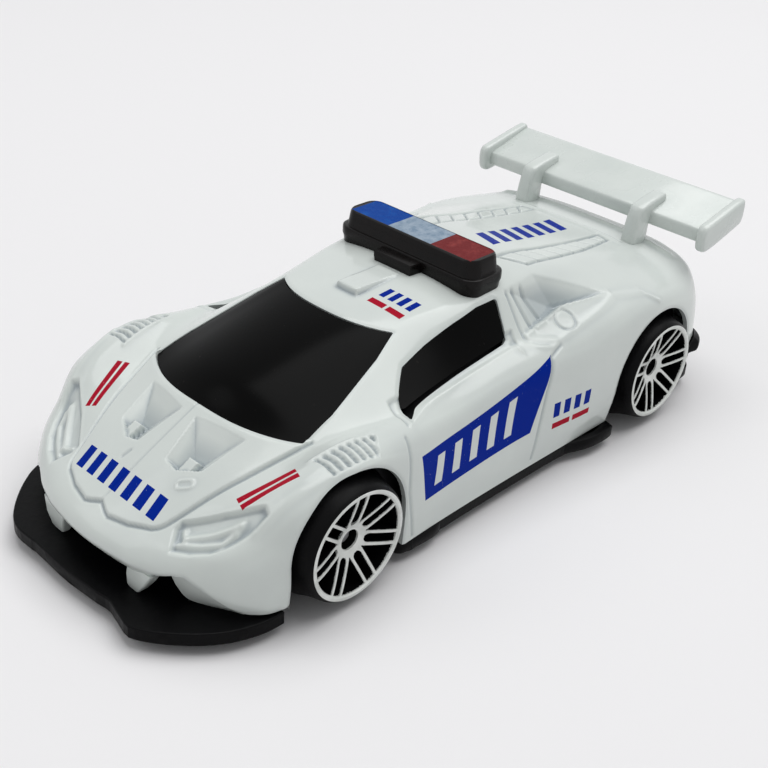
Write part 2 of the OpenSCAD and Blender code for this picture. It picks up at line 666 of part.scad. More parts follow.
// One-piece wheel about the z axis, with its face at z = 0 and its back at z = -wheel_w
module wheel_form() {
  rim_in = rim_d / 2 - rim_w;
  difference() {
    rotate_extrude($fn = 96) {
      difference() {
        translate([0, -wheel_w]) square([wheel_r, wheel_w]);
        translate([rim_d / 2, -shoulder_r]) square([wheel_r, shoulder_r + over]);
        translate([0, -dish_depth]) square([rim_in, dish_depth + over]);
        translate([hub_d / 2, -wheel_w - over]) square([rim_in - hub_d / 2, dish_depth + over]);
      }
      translate([wheel_r - shoulder_r, -shoulder_r]) intersection() {
        circle(shoulder_r);
        square(shoulder_r);
      }
      translate([rim_d / 2 - rim_w / 2, -shoulder_r])
        square([wheel_r - shoulder_r - rim_d / 2 + rim_w / 2, shoulder_r / 2]);
      translate([0, -wheel_w]) square([hub_d / 2, wheel_w - hub_sink]);
    }
    translate([0, 0, -wheel_w - over]) cylinder(d = axle_d - 2 * press, h = wheel_w + 2 * over);
  }
  for (i = [0:spoke_pairs - 1], s = [-1, 1])
    rotate([0, 0, 360 / spoke_pairs * (i + s / 6)])
      translate([hub_d / 2 - spoke_w / 2, -spoke_w / 2, -dish_depth - spoke_w])
        cube([rim_in - hub_d / 2 + spoke_w, spoke_w, dish_depth - hub_sink / 2 + spoke_w]);
}

module left_wheel(x) color("#1a1a1c") in_frame()
  translate([x, wheel_out_y, wheel_r]) rotate([-90, 0, 0]) wheel_form();

module right_wheel(x) mirror([0, 1, 0]) left_wheel(x);

module front_left_wheel() left_wheel(half_wb);
module front_right_wheel() right_wheel(half_wb);
module rear_left_wheel() left_wheel(-half_wb);
module rear_right_wheel() right_wheel(-half_wb);

// Self-tapping screw from below, through the base into a cast post
module base_screw(x) color("gray") in_frame() translate([x, 0, ground_gap]) difference() {
  union() {
    cylinder(d = screw_head_d, h = screw_head_h);
    cylinder(d = screw_d, h = screw_head_h + screw_l);
  }
  for (a = [0, 90]) rotate([0, 0, a])
    translate([-screw_head_d / 3, -slot_w / 2, -over])
      cube([screw_head_d * 2 / 3, slot_w, over + screw_head_h / 2]);
}

module front_base_screw() base_screw(post_x);
module rear_base_screw() base_screw(-post_x);

body_shell();
window_insert();
light_bar();
rear_wing();
base_plate();
cabin_tray();
front_axle();
rear_axle();
front_left_wheel();
front_right_wheel();
rear_left_wheel();
rear_right_wheel();
front_base_screw();
rear_base_screw();
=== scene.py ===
from functools import partial
import bmesh
import bpy
import numpy as np
from mathutils import Matrix, Vector


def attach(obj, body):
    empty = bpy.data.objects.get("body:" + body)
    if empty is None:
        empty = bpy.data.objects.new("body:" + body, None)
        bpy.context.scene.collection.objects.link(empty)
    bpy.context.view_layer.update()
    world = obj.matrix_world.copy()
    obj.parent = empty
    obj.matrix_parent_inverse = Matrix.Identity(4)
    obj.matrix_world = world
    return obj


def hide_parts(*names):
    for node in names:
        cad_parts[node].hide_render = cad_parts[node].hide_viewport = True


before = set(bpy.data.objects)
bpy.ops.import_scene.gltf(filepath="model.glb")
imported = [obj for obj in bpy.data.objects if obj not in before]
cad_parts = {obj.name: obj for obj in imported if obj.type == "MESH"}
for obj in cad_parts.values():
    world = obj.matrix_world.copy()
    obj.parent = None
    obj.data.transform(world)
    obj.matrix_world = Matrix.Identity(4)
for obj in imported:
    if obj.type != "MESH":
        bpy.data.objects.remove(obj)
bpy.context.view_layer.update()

# The table: a plain pale sheet under the car, as in a product photograph.
# It is lit evenly, and takes the car's soft shadow.


def linear(*rgb):
    """Screen colour of 0 to 255 turned into linear light, as a four-number colour."""
    c = np.array(rgb) / 255
    return tuple(np.where(c <= 0.04045, c / 12.92, ((c + 0.055) / 1.055) ** 2.4)) + (1.0,)


def plug(socket, source):
    """Links a source socket to a node's input, or sets that input to a constant."""
    if isinstance(source, bpy.types.NodeSocket):
        socket.id_data.links.new(source, socket)
    else:
        socket.default_value = source


def feed(shader, **sources):
    """Plugs each source into the input of its name, in which underscores stand for spaces."""
    for name, source in sources.items():
        plug(shader.inputs[name.replace("_", " ")], source)


def new_material(name, **sources):
    """A node material with its shader, whose named inputs are fed."""
    material = bpy.data.materials.new(name)
    material.use_nodes = True
    shader = material.node_tree.nodes["Principled BSDF"]
    feed(shader, **sources)
    return material, shader


def mesh_object(name, points, faces, material, smooth_below=40, normals=None):
    """An object at the origin from points in millimetres about mid-wheelbase and lists of face corners."""
    mesh = bpy.data.meshes.new(name)
    mesh.from_pydata((np.asarray(points, float) - [mid_shift, 0, 0]) / 1000, [], faces)
    mesh.polygons.foreach_set("use_smooth", [len(face) < 5 for face in faces])
    if normals is None:
        mesh.set_sharp_from_angle(angle=np.radians(smooth_below))
    else:
        mesh.normals_split_custom_set_from_vertices(normals)
    mesh.materials.append(material)
    made = bpy.data.objects.new(name, mesh)
    bpy.context.scene.collection.objects.link(made)
    return made


mid_shift = 1.25
sheet_half = 520.0
sheet_paint, _ = new_material(
    "sheet_paint", Base_Color=linear(237, 236, 237), Roughness=0.75, Specular_IOR_Level=0.2)
sheet_corners = [[x, y, 0] for x, y in ((-1, -1), (1, -1), (1, 1), (-1, 1))]
sheet = mesh_object("sheet", np.array(sheet_corners) * [sheet_half, sheet_half, 1], [[0, 1, 2, 3]], sheet_paint)

# The light: one wide soft box above the car, a weak one in front, and an even pale room that looks brighter
# in the background and in reflections than the light it gives.


def node(tree, kind, *sources, **settings):
    """Adds a shader node with its settings, and plugs the sources into its inputs in turn."""
    made = tree.nodes.new(kind)
    for key, value in settings.items():
        setattr(made, key, value)
    for socket, source in zip(made.inputs, sources):
        plug(socket, source)
    return made


def maths(operation, *sources):
    """One arithmetic node on its sources' tree, whose result is returned as a socket."""
    tree = next(source.id_data for source in sources if isinstance(source, bpy.types.NodeSocket))
    return node(tree, "ShaderNodeMath", *sources, operation=operation).outputs[0]


room_given, room_seen = 0.46, 1.0
world = bpy.data.worlds.new("room")
bpy.context.scene.world = world
world.use_nodes = True
room = world.node_tree
room.nodes["Background"].inputs[0].default_value = (0.84, 0.85, 0.86, 1)
paths = room.nodes.new("ShaderNodeLightPath").outputs
seen = maths("MAXIMUM", paths["Is Camera Ray"], paths["Is Glossy Ray"])
seen = maths("MAXIMUM", seen, paths["Is Transmission Ray"])
glow = node(room, "ShaderNodeMapRange", seen, 0.0, 1.0, room_given, room_seen)
plug(room.nodes["Background"].inputs[1], glow.outputs[0])
for name, place, size, power in (
    ("soft_box_high", (-0.16, 0.03, 0.60), 0.6, 2.95),
    ("soft_box_front", (0.30, -0.26, 0.34), 0.28, 0.27),
):
    lamp = bpy.data.lights.new(name, "AREA")
    lamp.size = size
    lamp.energy = power
    lamp_object = bpy.data.objects.new(name, lamp)
    lamp_object.location = place
    lamp_object.rotation_euler = (-Vector(place)).to_track_quat("-Z", "Y").to_euler()
    bpy.context.scene.collection.objects.link(lamp_object)
bpy.context.scene.view_settings.view_transform = "Standard"

# The camera: in front of the car's left headlight, a little above it, turned four degrees about its own axis.
# Its place comes from the wheels, the wing and the roof.
camera_data = bpy.data.cameras.new("camera")
camera_data.lens = 58.8
camera_data.sensor_width = 36.0
camera_data.clip_start = 0.005
camera = bpy.data.objects.new("camera", camera_data)
right, down, ahead = (
    (-0.69517, 0.71632, 0.06018), (0.32841, 0.39095, -0.85983), (-0.63944, -0.57796, -0.50703))
camera.matrix_world = Matrix.Translation((0.076297, 0.068650, 0.066047)) @ Matrix(
    [[r, -d, -a] for r, d, a in zip(right, down, ahead)]).to_4x4()
bpy.context.scene.collection.objects.link(camera)
bpy.context.scene.camera = camera

# The body: a thin zinc casting in thick gloss white enamel, with its panel lines, intakes and louvres
# cast in. It drops over the base from above, and two screws from below hold it.
body_length, body_half_width, body_height, base_top = 68.0, 15.5, 16.1, 2.2
body_lines = np.array([
    # sill
    [[0.396, 0.948, 0.006], [0.391, 0.958, 0.006], [0.379, 0.968, 0.003], [0.359, 0.981, 0.003],
     [0.329, 0.994, 0.003], [0.272, 0.994, 0.003], [0.199, 0.974, 0.003], [0.118, 0.961, 0.003],
     [0.015, 0.955, 0.003], [-0.066, 0.955, 0.003], [-0.14, 0.955, 0.003], [-0.209, 0.955, 0.003],
     [-0.309, 0.955, 0.006], [-0.382, 0.942, 0.012], [-0.426, 0.916, 0.019], [-0.444, 0.884, 0.031],
     [-0.444, 0.852, 0.031]],
    # rocker
    [[0.424, 0.923, 0.012], [0.421, 0.942, 0.075], [0.406, 0.961, 0.137], [0.379, 0.981, 0.174],
     [0.347, 0.994, 0.205], [0.279, 1, 0.236], [0.199, 0.981, 0.174], [0.118, 0.968, 0.143],
     [0.015, 0.961, 0.143], [-0.066, 0.968, 0.143], [-0.14, 0.987, 0.143], [-0.213, 0.994, 0.205],
     [-0.309, 0.994, 0.298], [-0.387, 0.981, 0.298], [-0.432, 0.935, 0.236], [-0.451, 0.865, 0.174],
     [-0.453, 0.8, 0.075]],
    # waist
    [[0.45, 0.832, 0.025], [0.453, 0.852, 0.106], [0.435, 0.903, 0.236], [0.403, 0.955, 0.335],
     [0.365, 0.985, 0.497], [0.287, 0.99, 0.606], [0.203, 0.968, 0.497], [0.118, 0.942, 0.391],
     [0.015, 0.929, 0.391], [-0.066, 0.961, 0.391], [-0.14, 0.994, 0.391], [-0.218, 1, 0.484],
     [-0.309, 1, 0.615], [-0.39, 0.974, 0.547], [-0.437, 0.903, 0.472], [-0.459, 0.813, 0.335],
     [-0.462, 0.723, 0.124]],
    # shoulder
    [[0.468, 0.703, 0.05], [0.472, 0.735, 0.143], [0.457, 0.761, 0.286], [0.424, 0.839, 0.391],
     [0.376, 0.929, 0.547], [0.294, 0.942, 0.652], [0.209, 0.923, 0.618], [0.118, 0.91, 0.571],
     [0.015, 0.916, 0.596], [-0.066, 0.948, 0.596], [-0.14, 0.981, 0.584], [-0.218, 0.981, 0.652],
     [-0.309, 0.961, 0.708], [-0.391, 0.923, 0.658], [-0.441, 0.852, 0.596], [-0.465, 0.748, 0.447],
     [-0.468, 0.632, 0.161]],
    # crown
    [[0.481, 0.594, 0.075], [0.487, 0.619, 0.168], [0.474, 0.632, 0.286], [0.438, 0.684, 0.373],
     [0.379, 0.8, 0.58], [0.3, 0.839, 0.683], [0.213, 0.832, 0.658], [0.118, 0.826, 0.634],
     [0.015, 0.839, 0.671], [-0.066, 0.877, 0.689], [-0.14, 0.916, 0.696], [-0.218, 0.916, 0.733],
     [-0.309, 0.89, 0.752], [-0.39, 0.839, 0.727], [-0.446, 0.774, 0.683], [-0.469, 0.671, 0.516],
     [-0.472, 0.542, 0.174]],
    # belt
    [[0.491, 0.49, 0.093], [0.499, 0.503, 0.186], [0.485, 0.503, 0.28], [0.447, 0.555, 0.36],
     [0.391, 0.645, 0.503], [0.301, 0.703, 0.627], [0.213, 0.748, 0.646], [0.118, 0.761, 0.665],
     [0.015, 0.748, 0.702], [-0.066, 0.748, 0.733], [-0.14, 0.787, 0.758], [-0.218, 0.787, 0.783],
     [-0.309, 0.761, 0.783], [-0.39, 0.723, 0.764], [-0.449, 0.671, 0.727], [-0.472, 0.581, 0.547],
     [-0.475, 0.452, 0.174]],
    # roof edge
    [[0.503, 0.335, 0.112], [0.512, 0.342, 0.193], [0.496, 0.348, 0.28], [0.456, 0.413, 0.36],
     [0.397, 0.49, 0.478], [0.306, 0.639, 0.602], [0.243, 0.574, 0.708], [0.122, 0.465, 0.894],
     [0.015, 0.535, 0.944], [-0.066, 0.561, 0.957], [-0.14, 0.516, 0.95], [-0.218, 0.503, 0.894],
     [-0.309, 0.503, 0.839], [-0.39, 0.503, 0.801], [-0.453, 0.516, 0.752], [-0.475, 0.452, 0.559],
     [-0.478, 0.348, 0.174]],
    # between roof edge and middle
    [[0.51, 0.168, 0.124], [0.519, 0.168, 0.199], [0.504, 0.168, 0.28], [0.465, 0.206, 0.373],
     [0.406, 0.245, 0.503], [0.341, 0.323, 0.627], [0.282, 0.29, 0.758], [0.144, 0.232, 0.919],
     [0.022, 0.271, 0.975], [-0.066, 0.284, 0.994], [-0.14, 0.271, 0.981], [-0.218, 0.265, 0.919],
     [-0.309, 0.265, 0.857], [-0.39, 0.265, 0.814], [-0.456, 0.258, 0.764], [-0.478, 0.226, 0.559],
     [-0.478, 0.174, 0.174]],
    # middle
    [[0.512, 0, 0.124], [0.522, 0, 0.199], [0.507, 0, 0.28], [0.468, 0, 0.373], [0.409, 0, 0.509],
     [0.351, 0, 0.64], [0.294, 0, 0.776], [0.15, 0, 0.925], [0.024, 0, 0.981], [-0.066, 0, 1],
     [-0.14, 0, 0.988], [-0.218, 0, 0.925], [-0.309, 0, 0.857], [-0.39, 0, 0.814], [-0.456, 0, 0.764],
     [-0.478, 0, 0.559], [-0.478, 0, 0.174]]]).transpose(1, 0, 2)
half_shares = [0, 0.35, 0.42, 0.42, 0.42, 0.35, 0.22, 0.5]
corner_shares = np.array(half_shares + [0.5] + half_shares[::-1])
wheel_r, front_x, rear_x = 6.0, 21.0, -21.0
arch_r, front_arch_r, front_arch_back, arch_in_y = 6.35, 6.13, 0.2, 14.2
seat_gap, far_off = 0.04, 9


def unit(value):
    """A value limited to 0..1."""
    return np.clip(value, 0, 1)


def spline(points, at):
    """Smooth curve through the points (uniform Catmull-Rom), read at the given counts from the first."""
    at = np.asarray(at, float)
    i = np.clip(np.floor(at).astype(int), 0, len(points) - 2)
    t = (at - i).reshape(at.shape + (1,) * (points.ndim - 1))
    a, b, c, d = (points[np.clip(i + k, 0, len(points) - 1)] for k in (-1, 0, 1, 2))
    return ((2 * b) + (c - a) * t + (2 * a - 5 * b + 4 * c - d) * t ** 2 + (3 * b - a - 3 * c + d) * t ** 3) / 2


def body_form(rows, columns, inset):
    """The body as a grid: rows along the car by even arc length, columns from the left sill over the roof to
    the right sill. Across the car each row runs straight from line to line, and each line's corner is rounded
    by the parabola whose two ends lie a given share of the way to the next lines."""
    size = np.array([body_length - 2 * inset, body_half_width - inset, body_height - inset])
    net = body_lines * size + [0, 0, base_top]
    net = np.concatenate([net, (net * [1, -1, 1])[:, -2::-1]], 1)
    steps = np.linalg.norm(np.diff(net, axis=0), axis=2).mean(1)
    u = np.interp(np.linspace(0, steps.sum(), rows), np.r_[0, steps.cumsum()], np.arange(len(steps) + 1))
    steps = np.linalg.norm(np.diff(net, axis=1), axis=2).mean(0)
    v = np.interp(np.linspace(0, steps.sum(), columns), np.r_[0, steps.cumsum()], np.arange(len(steps) + 1))
    p = spline(net, u)
    k = np.clip(np.rint(v).astype(int), 0, 16)
    share = corner_shares[k]
    low = np.clip(np.floor(v).astype(int), 0, 15)
    t = (v - low)[:, None]
    straight = p[:, low] * (1 - t) + p[:, low + 1] * t
    b, a, c = p[:, k], p[:, np.maximum(k - 1, 0)], p[:, np.minimum(k + 1, 16)]
    s = share[:, None]
    bend = unit((v - k + share) / np.maximum(2 * share, 1e-9))[:, None]
    curved = (1 - bend) ** 2 * (b + (a - b) * s) + 2 * bend * (1 - bend) * b + bend ** 2 * (b + (c - b) * s)
    return np.where((np.abs(v - k) < share)[:, None], curved, straight)


def outward(grid):
    """Unit normals of a grid from the cross product of its two directions."""
    n = np.cross(np.gradient(grid, axis=0), np.gradient(grid, axis=1))
    return n / np.maximum(np.linalg.norm(n, axis=2, keepdims=True), 1e-12)


def to_line(q, line):
    """Distance of flat points to a line through the given corners."""
    line = np.asarray(line, float)
    a, d = line[:-1], np.diff(line, axis=0)
    best = np.full(q.shape[:-1], 1e9)
    for start, way in zip(a, d):
        t = unit(((q - start) @ way) / (way @ way))
        best = np.minimum(best, np.linalg.norm(q - start - t[..., None] * way, axis=-1))
    return best


def to_outline(q, corners):
    """Distance of flat points to a closed outline, counted negative inside (by the winding of its edges)."""
    corners = np.asarray(corners, float)
    inside = np.zeros(q.shape[:-1], bool)
    for a, b in zip(corners, np.roll(corners, -1, 0)):
        crosses = (a[1] > q[..., 1]) != (b[1] > q[..., 1])
        rise = b[1] - a[1] if b[1] != a[1] else 1e-9
        inside ^= crosses & (q[..., 0] < a[0] + (q[..., 1] - a[1]) * (b[0] - a[0]) / rise)
    return np.where(inside, -1, 1) * to_line(q, np.vstack([corners, corners[:1]]))


def pit(q, corners, low, depth, falling):
    """An upside-down pyramid: flat facets fall from the numbered edges of the outline to its low point."""
    corners, low = np.asarray(corners, float), np.asarray(low, float)
    way = np.roll(corners, -1, 0) - corners
    side = np.stack([-way[:, 1], way[:, 0]], 1)
    reach = np.einsum("ek,ek->e", low - corners, side)
    share = np.min([((q - corners[e]) @ side[e]) / reach[e] for e in falling], axis=0)
    return -depth * unit(share)


def screen_edge(gap):
    """The windscreen seen from above: bowed lower and upper edges, whose ends draw back by a power of y."""
    t = np.linspace(-1, 1, 41)
    low = np.stack([23.73 - 3.2 * np.abs(t) ** 2.4 - gap, (9.9 - gap) * t], 1)
    high = np.stack([10.54 - 2.4 * np.abs(t[::-1]) ** 2.4 + gap, (7.2 - gap) * t[::-1]], 1)
    corners = np.vstack([low, high])
    return np.roll(corners, 1, 0) / 4 + corners / 2 + np.roll(corners, -1, 0) / 4


side_window = np.array([[12.4, 12.5], [11.3, 13.6], [9.7, 14.75], [6.5, 15.6], [3.0, 16.4], [0.0, 17.0],
                        [-2.3, 17.15], [-2.45, 17.0], [-2.1, 15.6], [-1.75, 14.25], [-1.2, 14.05], [5.0, 13.4]])


def openings(grid, gap):
    """How far each point lies outside the windscreen, the side windows and the wheel arches."""
    x, y, z = np.moveaxis(grid, 2, 0)
    screen = to_outline(grid[..., :2], screen_edge(gap))
    screen = np.where((z > 10) & (x > 5), screen, far_off)
    window = np.where(np.abs(y) > 7.5, to_outline(grid[..., [0, 2]], side_window) + gap, far_off)
    over = np.maximum(z - wheel_r, 0)
    arch = np.minimum(np.hypot(x - front_x + front_arch_back, over) - front_arch_r,
                      np.hypot(x - rear_x, over) - arch_r)
    return screen, window, np.maximum(arch, arch_in_y - np.abs(y))


def read_grid(field, i, j):
    """Values of a grid between its points, by bilinear weights."""
    i = np.clip(i, 0, field.shape[0] - 1.001)
    j = np.clip(j, 0, field.shape[1] - 1.001)
    a, b = i.astype(int), j.astype(int)
    s, t = (i - a), (j - b)
    if field.ndim == 3:
        s, t = s[:, None], t[:, None]
    return ((1 - s) * (1 - t) * field[a, b] + s * (1 - t) * field[a + 1, b]
            + (1 - s) * t * field[a, b + 1] + s * t * field[a + 1, b + 1])


def trimmed(grid, keep, lip, flip=False):
    """Cuts a grid where keep is negative. Points just past the edge slide back on it along the grid's own
    slope of keep, and a lip of the given depth turns in along every free edge. Gives the points, the faces,
    the normals and the grid point each one comes from."""
    rows, columns = keep.shape
    index = np.arange(rows * columns).reshape(rows, columns)
    quads = np.stack([index[:-1, :-1], index[1:, :-1], index[1:, 1:], index[:-1, 1:]], -1).reshape(-1, 4)
    quads = quads[(keep.ravel()[quads] > 0).any(1)]
    slide = np.unique(quads[keep.ravel()[quads] <= 0])
    i, j = (slide // columns).astype(float), (slide % columns).astype(float)
    slope_i, slope_j = np.gradient(keep)
    for _ in range(4):
        f, fi, fj = (read_grid(g, i, j) for g in (keep, slope_i, slope_j))
        square = np.maximum(fi ** 2 + fj ** 2, 1e-6)
        i, j = i - np.clip(f * fi / square, -1.5, 1.5), j - np.clip(f * fj / square, -1.5, 1.5)
    points = grid.reshape(-1, 3).copy()
    points[slide] = read_grid(grid, i, j)
    points[:, 2] = np.maximum(points[:, 2], base_top + seat_gap)
    normals = outward(grid).reshape(-1, 3)
    if flip:
        quads, normals = quads[:, ::-1], -normals
    edges = np.stack([quads, np.roll(quads, -1, 1)], -1).reshape(-1, 2)
    key, back = edges[:, 0] * len(points) + edges[:, 1], edges[:, 1] * len(points) + edges[:, 0]
    free = edges[~np.isin(key, back)]
    rim = np.unique(free)
    a, b = np.searchsorted(rim, free).T
    side = np.cross(points[free[:, 1]] - points[free[:, 0]], normals[free[:, 0]])
    facing = np.zeros((len(rim), 3))
    np.add.at(facing, a, side)
    np.add.at(facing, b, side)
    facing /= np.maximum(np.linalg.norm(facing, axis=1, keepdims=True), 1e-12)
    outer = len(points) + np.arange(len(rim))
    inner = outer + len(rim)
    lips = np.stack([outer[b], outer[a], inner[a], inner[b]], 1)
    inner_points = points[rim] - normals[rim] * lip
    inner_points[:, 2] = np.maximum(inner_points[:, 2], base_top + seat_gap)
    return (np.vstack([points, points[rim], inner_points]), np.vstack([quads, lips]),
            np.vstack([normals, facing, facing]), np.concatenate([np.arange(rows * columns), rim, rim]))


def shell_piece(name, trim, material, first=0, last=10 ** 7, painted_shade=None):
    """An object from the faces of a trimmed grid whose lowest grid point lies from first to before last, with the
    grid's painted shade for its grooves and hollows, if given, kept as an attribute."""
    points, faces, normals, source = trim
    low = source[faces].min(1)
    faces = faces[(low >= first) & (low < last)]
    used, flat = np.unique(faces, return_inverse=True)
    made = mesh_object(name, points[used], flat.reshape(-1, 4).tolist(), material, normals=normals[used])
    if painted_shade is not None:
        depths = made.data.attributes.new("hollow", "FLOAT", "POINT").data
        depths.foreach_set("value", painted_shade.ravel()[source[used]])
    return made


def bell(distance, width):
    """A bell curve, 1 in the middle: e to the minus square of distance over width."""
    return np.exp(-(distance / width) ** 2)


def line_of(q, line, width, rise):
    """A soft bead (or groove, where rise is negative) along a line, bell-shaped across it."""
    return rise * bell(to_line(q, line), width)


def step_of(distance, width, rise):
    """A soft step: full rise where the distance is negative, nothing past the width."""
    t = unit(0.5 - distance / width)
    return rise * t * t * (3 - 2 * t)


nose_hole = [(7.0, 1.0), (6.95, 3.9), (7.1, 4.6), (8.68, 5.25), (9.65, 5.4), (10.86, 4.65), (12.43, 3.0),
             (13.18, 2.45), (13.6, 2.0), (13.6, 1.0)]


def nose_gap(grid):
    """How far each point lies outside the two black openings low in the nose."""
    front = np.stack([np.abs(grid[..., 1]), grid[..., 2]], -1)
    return np.where(grid[..., 0] > 29, to_outline(front, nose_hole), far_off)


body_rows, body_columns = 640, 421
body_grid = body_form(body_rows, body_columns, 0.0)
body_keep = np.minimum(np.minimum.reduce(openings(body_grid, 0.0)), nose_gap(body_grid))
x, y, z = np.moveaxis(body_grid, 2, 0)
plan = np.stack([x, np.abs(y)], -1)
profile = np.stack([x, z], -1)
on_side = unit((np.abs(y) - 10.5) / 0.4)
on_hood = unit((x - 18.0) / 0.5)
on_deck = unit((-6.0 - x) / 0.5) * unit((z - 12) / 0.5)
relief = np.zeros(body_grid.shape[:2])
# hood panel, a little proud of the nose, with a notch in the middle of its front edge
hood_edge = [(20.4, 9.8), (25.9, 8.17), (31.9, 6.05), (32.3, 5.8), (32.65, 5.4), (33.5, 3.5), (33.95, 1.5),
             (33.8, 0.95), (33.4, 0.0)]
hood = to_outline(plan, hood_edge + [(20.4, 0.0)])
relief += on_hood * (step_of(hood, 0.45, 0.16) + line_of(plan, hood_edge, 0.15, -0.24))
# hood intakes: three facets fall forward to a steep front wall, with a small block at the low end
intake = [(24.55, 0.75), (28.5, 1.7), (28.6, 3.25), (27.5, 5.2), (23.55, 5.95)]
intake_in = to_outline(plan, intake)
intake_depth = 1.5
hollow = pit(plan, intake, (27.6, 3.65), intake_depth, (0, 3, 4)) * unit(-intake_in / 0.14)
block = to_outline(plan, [(27.1, 3.0), (28.7, 3.1), (28.4, 4.3), (27.0, 4.3)])
hollow = np.maximum(hollow, step_of(block, 0.3, 1.15) - intake_depth)
relief += on_hood * np.where(intake_in < 0, hollow, 0)
# a small oval bead on the hood's left, and a nick on its right
from_above = np.stack([x, y], -1)
oval = to_line(from_above, [(29.2, 4.6), (28.75, 5.15)])
relief += on_hood * (0.12 * bell(oval - 0.32, 0.11)
                     + line_of(from_above, [(30.0, -1.72), (29.3, -1.56)], 0.14, -0.12))
# headlights: a sunk field with a lens of two ridges in it
headlight = [(32.8, 7.9), (31.4, 6.9), (30.9, 6.85), (28.8, 9.4), (27.2, 12.0), (27.4, 12.6), (28.3, 12.4),
             (30.3, 11.2), (31.2, 10.5), (32.2, 9.2)]
relief += on_hood * (step_of(to_outline(plan, headlight), 0.5, -0.45)
                     + line_of(plan, [(31.4, 8.2), (30.2, 9.65), (28.8, 11.1)], 0.3, 0.36)
                     + line_of(plan, [(32.2, 7.95), (31.25, 9.45), (30.3, 10.7), (29.3, 11.2)], 0.26, 0.3)
                     + line_of(plan, [(31.2, 7.5), (31.7, 8.1)], 0.2, 0.25)
                     + line_of(plan, [(31.3, 6.8), (30.9, 6.8), (28.75, 9.3), (27.1, 11.9)], 0.2, 0.07))
# a ridge along each front fender, from the headlight to over the wheel
relief += line_of(plan, [(21.6, 14.5), (24.4, 13.8), (26.0, 13.36), (27.4, 12.9), (28.3, 12.44)], 0.4, 0.13)
# fender louvres: upright slots in a sunk field under a sharp upper edge
louvres = to_outline(plan, [(22.3, 12.1), (22.35, 14.35), (17.9, 14.8), (16.7, 13.0)])
slot_pitch = 0.75
slot_way = np.abs((x - 16.6) / slot_pitch % 1 - 0.5) * slot_pitch
slots = -0.14 - 0.34 * bell(slot_way, 0.15)
relief += np.where(louvres < 0.15, step_of(louvres, 0.3, 1.0) * slots, 0)
relief += line_of(plan, [(22.5, 11.85), (16.5, 12.75)], 0.17, 0.12) * on_hood
# roof hatch: a flat box that stands out of the sloping roof
hatch = to_outline(plan, [(7.3, -1.3), (7.3, 1.25), (2.0, 1.25), (2.0, -1.3)])
relief += np.where(z > 15, np.clip(18.0 - z, 0.0, 0.5) * unit(0.5 - hatch / 0.18), 0)
# deck: two ladders of slanted slats between fine grooves, and a bead across the tail
ladder = [(-7.6, 4.4), (-9.3, 6.85), (-14.0, 6.5), (-18.8, 6.3), (-24.4, 5.6), (-24.6, 4.2)]
ladder_in = to_outline(plan, ladder)
rung_pitch, rung_slant, rung_cosine = 2.15, 0.86, 0.76
rung = (-(x + 7.6) - rung_slant * (np.abs(y) - 4.4)) / rung_pitch
rung_way = np.abs(rung - np.rint(rung)) * rung_pitch * rung_cosine
slats = np.where(ladder_in < 0, 0.09 * (rung % 1) - 0.06 - 0.26 * bell(rung_way, 0.13), 0)
relief += on_deck * (slats + line_of(plan, ladder + ladder[:1], 0.15, -0.3))
relief += on_deck * (line_of(plan, [(-25.2, 0.0), (-25.2, 5.2), (-24.9, 6.6)], 0.3, 0.1)
                     + line_of(plan, [(-28.6, 0.0), (-28.4, 10.6)], 0.5, 0.25))
# quarters: a ribbed ramp behind each side window falls back to a steep wall; a round cap lies below it
quarter = [(-3.5, 14.0), (-3.5, 17.5), (-8.44, 17.49), (-15.6, 14.8), (-9.5, 15.15)]
quarter_in = to_outline(profile, quarter)
ramp = pit(profile, quarter, (-9.65, 15.35), 1.45, (0, 1, 2)) * unit(-quarter_in / 0.14)
for rib in ([(-3.55, 14.0), (-3.85, 17.1)], [(-5.15, 14.3), (-4.75, 17.15)], [(-6.8, 14.7), (-6.05, 17.1)]):
    ramp += line_of(profile, rib, 0.2, -0.2)
on_quarter = unit((np.abs(y) - 6.9) / 0.4) * (z > 13.2)
relief += np.where(quarter_in < 0.3, ramp, 0) * on_quarter
cap = np.linalg.norm(np.stack([x + 8.67, np.abs(y) - 12.32, z - 14.29], -1), axis=2)
relief += -0.15 * bell(cap - 1.05, 0.13)
quarter_edge = [(-3.7, 13.85), (-6.5, 13.45), (-15.6, 14.65), (-19.0, 14.35), (-20.4, 13.5)]
relief += on_side * (line_of(profile, quarter_edge, 0.17, 0.13)
                     + line_of(profile, [(-3.7, 14.0), (-9.5, 15.2), (-15.6, 14.85)], 0.14, 0.08) * on_quarter)
# doors: the ledge under the window with its sharp edge, and the shut lines
ledge = [(13.2, 12.45), (7.3, 12.85), (-1.7, 13.7), (-2.4, 13.8), (-2.6, 14.7), (12.8, 13.3)]
relief += on_side * step_of(to_outline(profile, ledge), 0.25, -0.2)
rear_shut_line = [(-6.3, 13.2), (-4.7, 12.6), (-3.85, 9.5), (-2.95, 4.8), (-2.65, 3.0)]
relief += on_side * (line_of(profile, [(12.9, 12.5), (7.3, 12.85), (-1.6, 13.7), (-2.1, 13.5)], 0.2, 0.13)
                     + line_of(profile, [(-2.1, 13.55), (-3.0, 13.65), (-5.2, 13.2), (-6.3, 13.25)], 0.15, 0.1)
                     + line_of(profile, rear_shut_line, 0.16, -0.16)
                     + line_of(profile, [(14.2, 12.1), (14.35, 7.3), (13.5, 2.6)], 0.14, -0.13))
# edges of the openings, softened by the thick paint
relief -= 0.09 * bell(np.maximum(body_keep, 0), 0.16)
